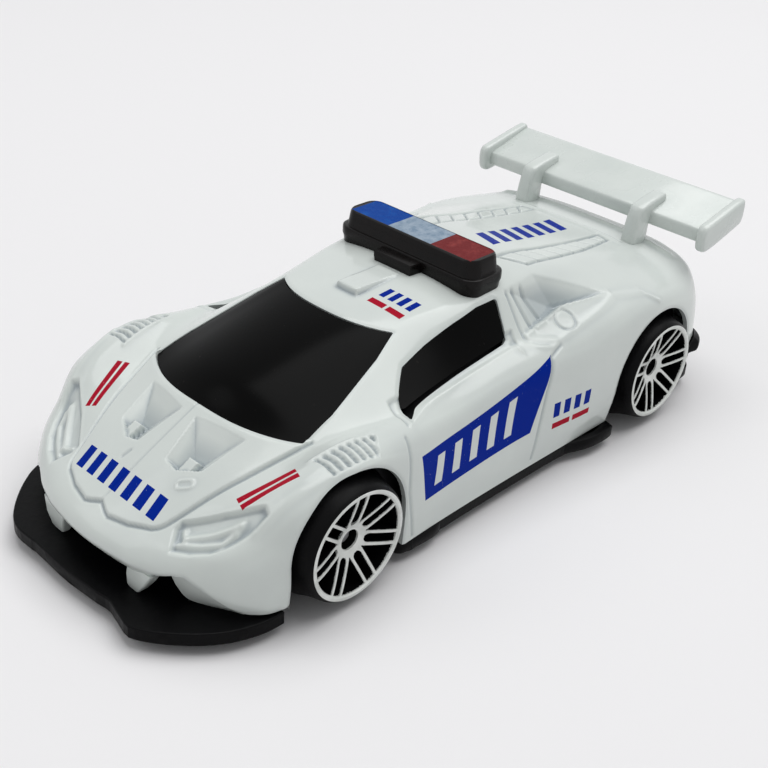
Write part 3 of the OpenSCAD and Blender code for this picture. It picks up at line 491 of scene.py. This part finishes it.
# how far a point lies below the mean of its neighbours, or deep in a pit, for painted shade: the enamel is
# darkened blue-grey in the grooves and hollows, where shade falls
around = relief.copy()
for _ in range(10):
    around[1:-1] = around[:-2] / 4 + around[1:-1] / 2 + around[2:] / 4
    around[:, 1:-1] = around[:, :-2] / 4 + around[:, 1:-1] / 2 + around[:, 2:] / 4
body_painted_shade = np.maximum(unit((around - relief) / 0.12), 0.7 * unit((-relief - 0.25) / 0.6))
body_grid = body_grid + outward(body_grid) * relief[..., None]
enamel, enamel_shader = new_material(
    "white_enamel", Roughness=0.2, Coat_Weight=0.3, Coat_Roughness=0.05, Specular_IOR_Level=0.3)


def mixed(share, low, high):
    """A colour mix by a share, returned as a socket."""
    made = node(share.id_data, "ShaderNodeMix", data_type="RGBA")
    for slot, source in ((0, share), (6, low), (7, high)):
        plug(made.inputs[slot], source)
    return made.outputs[2]


def place_on(shader):
    """A point's place on its piece, in metres of the shared frame."""
    return shader.id_data.nodes.new("ShaderNodeTexCoord").outputs["Object"]


def noise(coordinates, scale, detail=2.0, roughness=0.5):
    """Even random cloud of the given number of lumps per metre."""
    made = node(coordinates.id_data, "ShaderNodeTexNoise", coordinates)
    feed(made, Scale=scale, Detail=detail, Roughness=roughness)
    return made.outputs["Fac"]


def bump(shader, height, distance):
    """Feeds a height of 0 to 1, worth the given millimetres, into the shader's normal."""
    made = shader.id_data.nodes.new("ShaderNodeBump")
    feed(made, Strength=1.0, Distance=distance / 1000, Height=height)
    feed(shader, Normal=made.outputs["Normal"])


def ramped(value, low, high):
    """A value turned from low..high into 0..1."""
    return node(value.id_data, "ShaderNodeMapRange", value, low, high).outputs[0]


def both(*masks):
    """Where all the masks hold."""
    joint = masks[0]
    for mask in masks[1:]:
        joint = maths("MULTIPLY", joint, mask)
    return joint


def dull_where(shader, mask, shines):
    """Lowers each named shine from its full value by its drop where the mask holds."""
    for socket, full, drop in shines:
        plug(shader.inputs[socket], maths("SUBTRACT", full, maths("MULTIPLY", mask, drop)))


def print_field(coordinates, corner, along_end, across_end, depth=2.6):
    """A slanted field on the skin: how far along and across it a point lies, from 0 to 1, by the inverse of the
    three edge vectors, and whether it lies inside and close to the field's plane."""
    corner, along_end, across_end = np.array([corner, along_end, across_end], float) - [mid_shift, 0, 0]
    e, f = along_end - corner, across_end - corner
    n = np.cross(e, f)
    rows = np.linalg.inv(np.stack([e, f, n / np.linalg.norm(n) * depth], 1)) * 1000
    vector = partial(node, coordinates.id_data, "ShaderNodeVectorMath")
    moved = vector(coordinates, tuple(corner / 1000), operation="SUBTRACT").outputs[0]
    s, t, w = (vector(moved, tuple(row), operation="DOT_PRODUCT").outputs["Value"] for row in rows)
    return s, t, both(maths("COMPARE", s, 0.5, 0.5), maths("COMPARE", t, 0.5, 0.5), maths("COMPARE", w, 0.0, 1.0))


enamel_tree, enamel_place = enamel.node_tree, place_on(enamel_shader)
apart = node(enamel_tree, "ShaderNodeSeparateXYZ", enamel_place).outputs
off_middle = maths("ABSOLUTE", apart[1])
mirror_place = node(enamel_tree, "ShaderNodeCombineXYZ", apart[0], off_middle, apart[2]).outputs[0]
ragged = noise(enamel_place, 9000, 3)
enamel_colour = mixed(ramped(noise(enamel_place, 160, 4), 0.35, 0.75),
                      linear(211, 217, 213), linear(205, 211, 208))
# painted shade: the hollow attribute mixes the enamel towards blue-grey in the grooves and pits
groove = node(enamel_tree, "ShaderNodeAttribute", attribute_name="hollow").outputs["Fac"]
enamel_colour = mixed(maths("MULTIPLY", groove, 0.6), enamel_colour, linear(118, 132, 144))
print_blue, print_red, print_white = linear(4, 38, 142), linear(166, 22, 44), linear(214, 219, 217)
enamel_ink = None


def lay(mask, colour):
    """Prints a colour over what is there, thinned by small misses in the ink."""
    global enamel_colour, enamel_ink
    inked = both(mask, maths("GREATER_THAN", ragged, 0.26))
    enamel_colour = mixed(inked, enamel_colour, colour)
    enamel_ink = inked if enamel_ink is None else maths("MAXIMUM", enamel_ink, inked)


def bands(value, count, share):
    """Marks where a value falls in the first share of each of so many even bands."""
    return maths("LESS_THAN", maths("FRACT", maths("MULTIPLY", value, count)), share)


# two red stripes on each front fender
for corner, along_end, across_end in (
    ((27.4, 9.25, 9.55), (23.4, 11.3, 11.7), (27.85, 10.55, 9.4)),
    ((27.63, -8.72, 9.6), (23.18, -10.18, 11.75), (28.15, -9.56, 9.4)),
):
    s, t, field = print_field(enamel_place, corner, along_end, across_end)
    gap_way = maths("ABSOLUTE", maths("SUBTRACT", t, 0.5))
    lay(both(field, maths("GREATER_THAN", gap_way, 0.09)), print_red)
# a blue panel on each door, upright in front, slanted behind, with white slashes
s, t, field = print_field(mirror_place, (12.23, 14.8, 5.55), (-1.95, 14.8, 6.09), (12.8, 14.7, 10.02))
rear_way = maths("SUBTRACT", s, maths("MULTIPLY", t, 0.172))
upper_way = maths("MULTIPLY", s, maths("SUBTRACT", 0.19, maths("MULTIPLY", s, 0.45)))
upper_way = maths("ADD", t, upper_way)
panel = both(maths("GREATER_THAN", s, 0.0), maths("GREATER_THAN", t, 0.0), maths("LESS_THAN", rear_way, 1.0),
             maths("LESS_THAN", upper_way, 1.0), maths("GREATER_THAN", off_middle, 0.0125))
lay(panel, print_blue)
slant = maths("SUBTRACT", s, maths("MULTIPLY", t, 0.1))
slashes = both(bands(maths("ADD", slant, 0.1), 6, 0.42), maths("COMPARE", slant, 0.44, 0.39),
               maths("GREATER_THAN", t, 0.2), maths("LESS_THAN", upper_way, 0.8), panel)
lay(slashes, print_white)
# rows of slanted blocks across the hood and along the deck, short bars on the roof and behind the doors
for place, corner, along_end, across_end, colour, count, share, lean in (
    (enamel_place, (30.4, -5.4, 8.6), (30.4, 5.4, 8.6), (32.1, -5.6, 7.5), print_blue, 7, 0.6, -0.05),
    (enamel_place, (-9.5, 2.6, 18.0), (-23.5, 1.7, 15.7), (-9.5, -0.2, 18.1), print_blue, 7, 0.6, -0.05),
    (enamel_place, (7.2, 2.4, 17.3), (7.0, 6.4, 17.1), (6.5, 2.4, 17.4), print_red, 2, 0.86, 0.0),
    (enamel_place, (5.9, 2.5, 17.5), (5.6, 6.4, 17.2), (4.4, 2.5, 17.6), print_blue, 4, 0.6, 0.0),
    (mirror_place, (-5.0, 15.0, 5.3), (-10.6, 15.2, 5.2), (-5.0, 15.0, 5.9), print_red, 2, 0.86, 0.0),
    (mirror_place, (-5.0, 15.0, 6.5), (-10.6, 15.2, 6.4), (-5.0, 15.0, 8.0), print_blue, 4, 0.6, 0.0),
):
    s, t, field = print_field(place, corner, along_end, across_end)
    lay(both(field, bands(maths("ADD", s, maths("MULTIPLY", t, lean)), count, share)), colour)
feed(enamel_shader, Base_Color=enamel_colour)
# the ink is duller than the enamel
dull_where(enamel_shader, enamel_ink, [("Specular IOR Level", 0.3, 0.28), ("Coat Weight", 0.3, 0.3)])
bump(enamel_shader, noise(enamel_place, 700, 2), 0.012)
skin_lip = 0.45
body_trim = trimmed(body_grid, body_keep, skin_lip)
for name, first, last in (("nose", 0, 212), ("cabin", 212, 424), ("tail", 424, body_rows)):
    skin = shell_piece("body_shell_" + name, body_trim, enamel,
                       first * body_columns, last * body_columns, body_painted_shade)
    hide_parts("body_shell")
    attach(skin, "car")

# The facets beside the nose openings: part of the same casting, in the same enamel. They run from the crease
# in the skin down and in to the base.
crease = np.array([(33.45, 8.6, 5.3), (32.93, 9.65, 5.45), (32.38, 10.86, 4.7), (31.07, 12.43, 3.05),
                   (30.21, 13.18, 2.5), (29.6, 13.55, 2.25)])
foot_line = np.array([(33.05, 8.2, 4.9), (32.6, 8.3, 3.6), (32.1, 9.0, 2.5), (31.2, 10.5, 2.22),
                      (30.4, 11.9, 2.2), (29.9, 12.9, 2.2)])
under_skin = [-0.08, -0.08, 0.14]
along, share = np.linspace(0, 5, 41), np.linspace(0, 1, 9)[None, :, None]
facet = (spline(crease, along)[:, None] + under_skin) * (1 - share) + spline(foot_line, along)[:, None] * share
index = np.arange(facet[..., 0].size).reshape(facet.shape[:2])
quads = np.stack([index[:-1, :-1], index[:-1, 1:], index[1:, 1:], index[1:, :-1]], -1).reshape(-1, 4)
facet = facet.reshape(-1, 3)
facets = mesh_object("body_shell_facets", np.vstack([facet, facet * [1, -1, 1]]),
                     np.vstack([quads, quads[:, ::-1] + len(facet)]).tolist(), enamel)
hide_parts("body_shell")
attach(facets, "car")

# The teeth: two short wedges of the same casting, in the same enamel, under the nose between its middle and
# the openings. They reach down to the base.


def rounded_box(length, width, radius, corner_steps=9):
    """A rectangle with round corners as a ring of points, counterclockwise from its front left corner."""
    turn = np.linspace(0, np.pi / 2, corner_steps)
    turns = np.concatenate([turn + k * np.pi / 2 for k in range(4)])
    middles = np.array([[1, 1], [-1, 1], [-1, -1], [1, -1]]) * [length / 2 - radius, width / 2 - radius]
    return np.repeat(middles, corner_steps, 0) + radius * np.stack([np.cos(turns), np.sin(turns)], 1)


def at_height(ring, z):
    """A flat ring of points laid at a height."""
    return np.c_[ring, np.full(len(ring), z)]


def ring_walls(rows, count):
    """Quads between so many closed rings of so many points each."""
    index = np.arange(rows * count).reshape(rows, count)
    after = np.roll(index, -1, 1)
    return np.stack([index[:-1], after[:-1], after[1:], index[1:]], -1).reshape(-1, 4)


def stacked(rings):
    """Closed solid through rings of equal counts, with flat caps on the first and the last."""
    count = len(rings[0])
    points = np.concatenate(rings)
    first, last = list(range(count)), list(range(len(points) - count, len(points)))
    return points, ring_walls(len(rings), count).tolist() + [first[::-1], last]


def joined(parts):
    """Several lists of points and faces as one."""
    points, faces, count = [], [], 0
    for p, f in parts:
        points.append(p)
        faces += [[i + count for i in face] for face in f]
        count += len(p)
    return np.concatenate(points), faces


teeth = []
for sign in (1, -1):
    rings = []
    for z, x_low, x_high, y_low, y_high in (
        (2.25, 33.6, 34.35, 4.4, 5.7), (2.5, 33.45, 34.42, 4.3, 5.95),
        (3.4, 33.2, 34.42, 4.25, 6.6), (4.5, 32.9, 34.2, 4.2, 7.2),
    ):
        ring = rounded_box(x_high - x_low, y_high - y_low, 0.2, 5)
        rings.append(at_height(ring + [(x_low + x_high) / 2, sign * (y_low + y_high) / 2], z))
    teeth.append(stacked(rings))
nose_teeth = mesh_object("body_shell_teeth", *joined(teeth), enamel, 50)
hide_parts("body_shell")
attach(nose_teeth, "car")

# The inside of the casting: bare zinc, but coloured nearly black as painted shade for the dark inside of the
# arches. It is seen only through the arches and from below.
zinc, zinc_shader = new_material("zinc_painted_shade", Metallic=0.8, Roughness=0.55)
zinc_cloud = noise(place_on(zinc_shader), 1500, 4)
# painted shade: the zinc's colour is nearly black, for the dark inside of the arches
feed(zinc_shader, Base_Color=mixed(zinc_cloud, linear(18, 18, 19), linear(34, 34, 36)))
bump(zinc_shader, zinc_cloud, 0.03)
casting_wall = 1.75
lining_grid = body_form(150, 101, casting_wall)
lining_keep = np.minimum(np.minimum.reduce(openings(lining_grid, 0.0)), nose_gap(lining_grid) - 0.3)
lining = shell_piece("body_shell_lining", trimmed(lining_grid, lining_keep, 0.05, flip=True), zinc)
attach(lining, "car")

# The windows: one polished smoked moulding, pressed up under the roof, so its panes fill the openings from
# inside. They lie a little below the enamel, with a hair's breadth of gap round them.
smoke, smoke_shader = new_material("smoked_plastic", IOR=1.12, Specular_IOR_Level=0.5)
smoke_place = place_on(smoke_shader)
specks = ramped(noise(smoke_place, 2600, 1), 0.74, 0.8)
feed(smoke_shader, Base_Color=mixed(specks, linear(5, 5, 5), linear(22, 20, 19)),
     Roughness=ramped(noise(smoke_place, 90, 3), -1.2, 7.0))
pane_sink, pane_gap, pane_lip = 0.16, 0.1, 0.8
pane_grid = body_form(260, 201, pane_sink)
screen_pane, side_panes, _ = openings(pane_grid, pane_gap)
pane_keep = np.maximum(-screen_pane, -side_panes)
panes = shell_piece("window_insert_panes", trimmed(pane_grid, pane_keep, pane_lip), smoke)
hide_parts("window_insert")
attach(panes, "car")

# The light bar: one smoked moulding in two tiers on a flanged foot, pegged into the roof. Its top is printed
# blue, silver and red inside a dark border.
bar_middle = np.array([-2.0, 0.0])
bar_rings = [at_height(rounded_box(length, width, radius) + bar_middle, z) for z, length, width, radius in (
    (17.0, 4.6, 16.4, 1.3), (18.1, 4.8, 16.6, 1.4), (18.4, 5.0, 16.8, 1.45), (18.98, 5.0, 16.8, 1.45),
    (19.12, 4.9, 16.75, 1.4), (19.17, 4.75, 16.6, 1.35), (19.17, 4.3, 16.2, 1.35), (19.25, 4.2, 16.05, 1.3),
    (20.42, 3.95, 15.75, 1.25), (20.6, 3.85, 15.6, 1.2), (20.71, 3.65, 15.4, 1.1), (20.72, 3.5, 15.25, 1.05),
    (20.68, 3.42, 15.15, 1.0),
)]
# a tab stands out in front, where the moulding was fed
tab_root = bar_middle + [2.5, 0]
tab_rings = []
for z, reach, half in (
    (17.4, 1.1, 2.1), (18.45, 1.2, 2.25), (18.8, 1.2, 2.25), (18.95, 1.1, 2.15), (19.0, 0.95, 2.0),
):
    left = np.array([[reach, half], [0.0, half + 0.2], [-1.5, half + 0.3]])
    tab_rings.append(at_height(np.vstack([left[::-1] * [1, -1], left]) + tab_root, z))
bar_plastic, bar_shader = new_material("bar_plastic", Coat_Roughness=0.04)
bar_place = place_on(bar_shader)
along_car, across_car, height = node(bar_plastic.node_tree, "ShaderNodeSeparateXYZ", bar_place).outputs
bar_field = both(maths("COMPARE", along_car, -0.0033, 0.0017), maths("COMPARE", across_car, 0.0, 0.0073),
                 maths("GREATER_THAN", height, 0.02064))
scuffs = noise(bar_place, 1100, 5, 0.7)
fresh, worn = ramped(scuffs, 0.35, 0.65), ramped(scuffs, 0.5, 0.7)
silver = mixed(fresh, linear(118, 138, 158), linear(160, 174, 188))
blue = mixed(worn, linear(8, 64, 146), linear(20, 84, 164))
red = mixed(worn, linear(112, 40, 42), linear(140, 62, 60))
bar_print = mixed(maths("GREATER_THAN", across_car, -0.0026), blue, silver)
bar_print = mixed(maths("GREATER_THAN", across_car, 0.0026), bar_print, red)
bar_smoke = mixed(ramped(scuffs, 0.3, 0.8), linear(5, 4, 4), linear(15, 10, 9))
feed(bar_shader, Base_Color=mixed(bar_field, bar_smoke, bar_print),
     Roughness=ramped(scuffs, -0.6, 3.2))
dull_where(bar_shader, bar_field, [("Specular IOR Level", 0.12, 0.1), ("Coat Weight", 0.08, 0.08)])
bar_parts = joined([stacked(bar_rings), stacked(tab_rings)])
light_bar = mesh_object("light_bar_moulding", *bar_parts, bar_plastic, 35)
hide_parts("light_bar")
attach(light_bar, "car")

# The rear wing: one gloss white moulding, a blade between thick end plates on two uprights whose tabs lap
# over the blade. Pegs under the uprights go into the deck.


def rounded(corners, times=3):
    """A closed outline with its corners cut in quarters so many times, which rounds them."""
    corners = np.asarray(corners, float)
    for _ in range(times):
        after = np.roll(corners, -1, 0)
        corners = np.stack([0.75 * corners + 0.25 * after, 0.25 * corners + 0.75 * after], 1).reshape(-1, 2)
    return corners


def drawn_in(corners, by):
    """A counterclockwise outline with each edge moved in by one distance, so corners move on their mitres."""
    corners = np.asarray(corners, float)
    way = np.roll(corners, -1, 0) - corners
    way /= np.linalg.norm(way, axis=1, keepdims=True)
    side = np.stack([-way[:, 1], way[:, 0]], 1)
    before = np.roll(side, 1, 0)
    return corners + by * (side + before) / (1 + (side * before).sum(1, keepdims=True))


def side_plate(corners, y_low, y_high, bevel):
    """An outline in the XZ plane with rounded corners, drawn out along y, with quarter-round edges."""
    rings = []
    for turn, y_end, way in [(t, y_low, 1) for t in (0, 0.5, 1)] + [(t, y_high, -1) for t in (1, 0.5, 0)]:
        angle = turn * np.pi / 2
        flat = rounded(drawn_in(corners, bevel * (1 - np.sin(angle))))
        rings.append(np.insert(flat, 1, y_end + way * bevel * (1 - np.cos(angle)), axis=1))
    return stacked(rings[::-1])


wing_white, wing_shader = new_material(
    "white_plastic", Coat_Weight=0.4, Coat_Roughness=0.08, Specular_IOR_Level=0.4)
wing_place = place_on(wing_shader)
wing_cloud = noise(wing_place, 220, 4)
wing_shade = ramped(wing_cloud, 0.35, 0.7)
feed(wing_shader, Base_Color=mixed(wing_shade, linear(210, 216, 212), linear(202, 209, 205)),
     Roughness=ramped(wing_cloud, -0.5, 3.2))
bump(wing_shader, noise(wing_place, 900, 2), 0.012)
blade = [(-28.35, 17.0), (-28.4, 18.05), (-28.7, 18.3), (-30.6, 18.75), (-33.4, 19.55), (-34.8, 19.9),
         (-34.75, 19.2), (-32.0, 17.8), (-29.9, 16.85), (-28.6, 16.72)]
end_plate = [(-28.3, 15.95), (-27.6, 16.5), (-27.5, 18.75), (-28.9, 19.05), (-34.2, 20.15), (-34.85, 20.15),
             (-34.88, 17.7), (-33.9, 17.35)]
upright = [(-25.75, 14.6), (-26.05, 16.4), (-26.6, 18.6), (-27.2, 19.05), (-30.5, 19.55), (-31.0, 19.55),
           (-31.1, 19.1), (-31.1, 18.5), (-28.6, 18.0), (-28.45, 16.6), (-28.35, 14.6)]
wing_parts = [side_plate(blade, -13.9, 13.9, 0.02)]
for sign in (1, -1):
    for outline, low, high, bevel in ((end_plate, 13.5, 14.58, 0.3), (upright, 6.1, 7.7, 0.28)):
        ends = sorted((sign * low, sign * high))
        wing_parts.append(side_plate(outline, ends[0], ends[1], bevel))
wing = mesh_object("rear_wing_moulding", *joined(wing_parts), wing_white, 50)
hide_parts("rear_wing")
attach(wing, "car")

# The base: one satin black moulding with splitter, skirts and diffuser, whose edges are slightly rounded. It
# closes the body from below, and two screws hold it.
black, black_shader = new_material("black_plastic", Specular_IOR_Level=0.07)
black_place = place_on(black_shader)
grain = noise(black_place, 2400, 4)
black_shade = ramped(noise(black_place, 120, 4), 0.3, 0.8)
feed(black_shader, Base_Color=mixed(black_shade, linear(4, 4, 5), linear(11, 11, 12)),
     Roughness=ramped(grain, -0.9, 2.6))
bump(black_shader, grain, 0.02)
base_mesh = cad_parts["base_plate"].data.copy()
base_mesh.transform(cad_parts["base_plate"].matrix_world)
welded = bmesh.new()
welded.from_mesh(base_mesh)
bmesh.ops.remove_doubles(welded, verts=welded.verts, dist=1e-6)
bmesh.ops.dissolve_limit(welded, angle_limit=0.02, verts=welded.verts, edges=welded.edges)
welded.to_mesh(base_mesh)
welded.free()
flat = np.empty(len(base_mesh.vertices) * 3)
base_mesh.vertices.foreach_get("co", flat)
flat = flat.reshape(-1, 3)
# the splitter's front edge, let out in the middle and drawn in at its ends, by shares of its reach
reach_y = np.array([-15, -13.1, -9.5, -8.0, -6.6, -4.5, -1.6, 0.0, 3.3, 4.7, 6.3, 8.15, 11.1, 13.4, 15]) / 1000
reach_share = [0.78, 0.79, 0.88, 0.91, 0.95, 1.0, 1.02, 1.02, 1.0, 0.97, 0.96, 0.97, 0.92, 0.9, 0.9]
splitter_root = 0.02675
reach = np.maximum(flat[:, 0] - splitter_root, 0)
flat[:, 0] += reach * (np.interp(flat[:, 1], reach_y, reach_share) - 1)
base_mesh.vertices.foreach_set("co", flat.ravel())
base_mesh.materials.clear()
base_mesh.materials.append(black)
base = bpy.data.objects.new("base_plate_moulding", base_mesh)
bpy.context.scene.collection.objects.link(base)
edge_round = base.modifiers.new("edge_round", "BEVEL")
edge_round.width = 0.00016
edge_round.segments = 2
edge_round.limit_method = "ANGLE"
edge_round.angle_limit = np.radians(35)
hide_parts("base_plate")
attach(base, "car")

# The base's side blocks: behind each front wheel and before each rear one the skirt stands out. They are
# moulded in one with the base, in the same black.
blocks = []
for corners in (
    [(15.0, 13.4), (14.9, 14.7), (14.0, 15.1), (10.2, 15.25), (9.2, 14.5), (8.6, 14.1), (8.0, 13.4)],
    [(-5.0, 13.4), (-7.0, 14.5), (-9.0, 15.1), (-11.2, 15.9), (-14.3, 15.9), (-14.7, 15.4), (-14.8, 13.4)],
):
    rings = []
    for z, by in ((1.0, 0.15), (1.15, 0.0), (2.06, 0.0), (2.2, 0.15)):
        rings.append(at_height(rounded(drawn_in(corners, by), 2), z))
    blocks += [stacked(rings), stacked([ring[::-1] * [1, -1, 1] for ring in rings])]
skirt_blocks = mesh_object("base_plate_blocks", *joined(blocks), black, 50)
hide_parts("base_plate")
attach(skirt_blocks, "car")

# The base's rear corners and lower tail: a black apron over the lower tail with a rib along it, moulded in
# one with the base.
apron_grid = body_form(520, 361, 0.0)
x, y, z = np.moveaxis(apron_grid, 2, 0)
apron_edge = [(-27.4, 2.0), (-27.6, 5.0), (-28.6, 6.3), (-30.0, 6.7), (-36.0, 6.7), (-36.0, 2.0)]
apron_keep = -to_outline(np.stack([x, z], -1), apron_edge)
apron_rise = 0.14 + 0.75 * np.exp(-((z - 5.5) / 0.8) ** 4) * unit((-28.4 - x) / 0.8)
apron_keep = np.minimum(apron_keep, openings(apron_grid, 0.0)[2] - 0.05)
apron_grid = apron_grid + outward(apron_grid) * apron_rise[..., None]
apron = shell_piece("base_plate_apron", trimmed(apron_grid, apron_keep, 0.3), black)
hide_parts("base_plate")
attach(apron, "car")

# The wheels: one black moulding each, pressed on a steel pin. The tyre is crowned, the face dished, and bright
# foil is stamped on the rim, on the seven pairs of spokes and on the hub.
wheel_face, floor_depth = 16.2, 1.75
spoke_pairs, slot_half, pair_half, slot_start = 7, 0.34, 0.74, 1.9
hole_r, hub_r, rim_in_r, rim_r = 0.84, 1.6, 4.36, 4.9
face_r = np.concatenate([np.linspace(low, high, count) for low, high, count in (
    (0.86, 1.6, 14), (1.64, 2.3, 18), (2.4, 4.3, 14), (4.33, 4.86, 18))])


def wheel_form(phase):
    """A wheel as one polar grid from the pin over the face and the tyre to the back, whose columns run along
    the spokes. On the face, height and foil follow the distance into the spokes: pairs of parallel bars round
    slots with round ends, a hub and a rim."""
    pitch = 2 * np.pi / spoke_pairs
    bars = np.array([0, 0.12, 0.24, 0.3, 0.34, 0.36, 0.38, 0.4, 0.42, 0.48, 0.54, 0.6, 0.66, 0.68, 0.7, 0.72,
                     0.74, 0.8])
    half = np.minimum(np.arcsin(np.minimum(bars / face_r[:, None], 1)), pitch / 2 * 0.97 * bars / bars[-1])
    rest = half[:, -1:] + (pitch / 2 - half[:, -1:]) * np.linspace(0, 1, 9)[1:]
    half = np.concatenate([half, rest], 1)
    turn = np.tile(np.concatenate([-half[:, -2:0:-1], half], 1), spoke_pairs)
    a = turn + phase + pitch * np.repeat(np.arange(spoke_pairs), turn.shape[1] // spoke_pairs)
    r = face_r[:, None] + 0 * a
    across, along = np.abs(r * np.sin(turn)), r * np.cos(turn)
    slot = np.hypot(np.maximum(slot_start - along, 0), across) - slot_half
    foil = np.minimum(np.maximum(pair_half - across, hub_r - r), slot)
    foil = np.minimum(np.minimum(np.maximum(foil, r - rim_in_r), r - hole_r), rim_r - r)
    dish = 0.16 + 0.95 * unit((rim_in_r - r) / (rim_in_r - 1)) ** 1.25
    rise = unit(foil / 0.07)
    depth = floor_depth + (dish - floor_depth) * rise * rise * (3 - 2 * rise)
    rim = np.maximum(0.16 * unit((4.55 - r) / 0.15), 0.05 * unit((r - 4.78) / 0.08))
    depth = np.where(r > 4.4, rim, depth)
    bore = np.array([(0.61, 2.3), (0.61, 1.9), (0.8, 1.9), (0.83, 1.7)])
    tyre = np.array([(4.9, 0.12), (4.98, 0.2), (5.1, 0.4), (5.2, 0.8), (5.3, 1.3), (5.45, 1.9), (5.65, 2.5),
                     (5.85, 3.0), (5.97, 3.4), (6.0, 3.7), (5.95, 4.0), (5.75, 4.28), (5.4, 4.4),
                     (3.0, 4.4), (0.61, 4.4)])
    before, behind = np.ones((len(bore), a.shape[1])), np.ones((len(tyre), a.shape[1]))
    r = np.concatenate([before * bore[:, :1], r, behind * tyre[:, :1]])
    depth = np.concatenate([before * bore[:, 1:], depth, behind * tyre[:, 1:]])
    a = np.concatenate([before * a[0], a, behind * a[-1]])
    points = np.stack([r * np.cos(a), wheel_face - depth, wheel_r + r * np.sin(a)], -1)
    return points.reshape(-1, 3), ring_walls(*a.shape), np.concatenate([-before, foil, -behind]).ravel()


wheel_black, wheel_shader = new_material("wheel_plastic", Specular_IOR_Level=0.07)
wheel_place = place_on(wheel_shader)
foil_at = node(wheel_black.node_tree, "ShaderNodeAttribute", attribute_name="foil").outputs["Fac"]
flakes = noise(wheel_place, 5200, 3)
worn_foil = maths("ADD", foil_at, maths("MULTIPLY", maths("SUBTRACT", flakes, 0.5), 0.012))
foil_mask = maths("GREATER_THAN", worn_foil, 0.06)
wheel_dark = mixed(flakes, linear(4, 4, 5), linear(10, 10, 11))
foil_shade = ramped(noise(wheel_place, 900, 3), 0.3, 0.7)
wheel_bright = mixed(foil_shade, linear(206, 209, 205), linear(228, 230, 227))
feed(wheel_shader, Base_Color=mixed(foil_mask, wheel_dark, wheel_bright),
     Metallic=maths("MULTIPLY", foil_mask, 0.35), Roughness=ramped(flakes, -0.8, 2.4))
bump(wheel_shader, flakes, 0.012)
for name, axle_x, sign, body, phase in (
    ("front_left_wheel", front_x, 1, "front_wheelset", 3.43),
    ("front_right_wheel", front_x, -1, "front_wheelset", 3.43),
    ("rear_left_wheel", rear_x, 1, "rear_wheelset", 3.05),
    ("rear_right_wheel", rear_x, -1, "rear_wheelset", 3.05),
):
    points, faces, foil = wheel_form(phase)
    points = points * [1, sign, 1] + [axle_x, 0, 0]
    wheel = mesh_object(name + "_moulding", points, faces[:, ::-sign].tolist(), wheel_black, 35)
    wheel.data.attributes.new("foil", "FLOAT", "POINT").data.foreach_set("value", foil)
    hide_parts(name)
    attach(wheel, body)

# The pins and the base screws: plain drawn steel with fine lines. The pins turn in the base's saddles, and the
# screws go from below through the base into the body's posts.
steel, steel_shader = new_material("steel", Metallic=0.55)
steel_lines = noise(place_on(steel_shader), 4200, 5, 0.7)
feed(steel_shader, Base_Color=mixed(steel_lines, linear(140, 140, 142), linear(190, 190, 192)),
     Roughness=ramped(steel_lines, -0.6, 2.2))
bump(steel_shader, steel_lines, 0.01)


def refinish(name, finish):
    """Gives a CAD node, whose own shape is shown, its material."""
    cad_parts[name].data.materials.clear()
    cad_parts[name].data.materials.append(finish)


for name in ("front_axle", "rear_axle", "front_base_screw", "rear_base_screw"):
    refinish(name, steel)

# The cabin tray: a dull dark grey moulding with seats and dashboard, behind the smoked windows. It lies between
# the body and the base, and its ribs hold the pins down.
tray, tray_shader = new_material("tray_plastic", Specular_IOR_Level=0.3)
tray_grain = noise(place_on(tray_shader), 1800, 4)
feed(tray_shader, Base_Color=mixed(tray_grain, linear(30, 30, 32), linear(44, 44, 47)),
     Roughness=ramped(tray_grain, -1.0, 1.4))
bump(tray_shader, tray_grain, 0.03)
refinish("cabin_tray", tray)
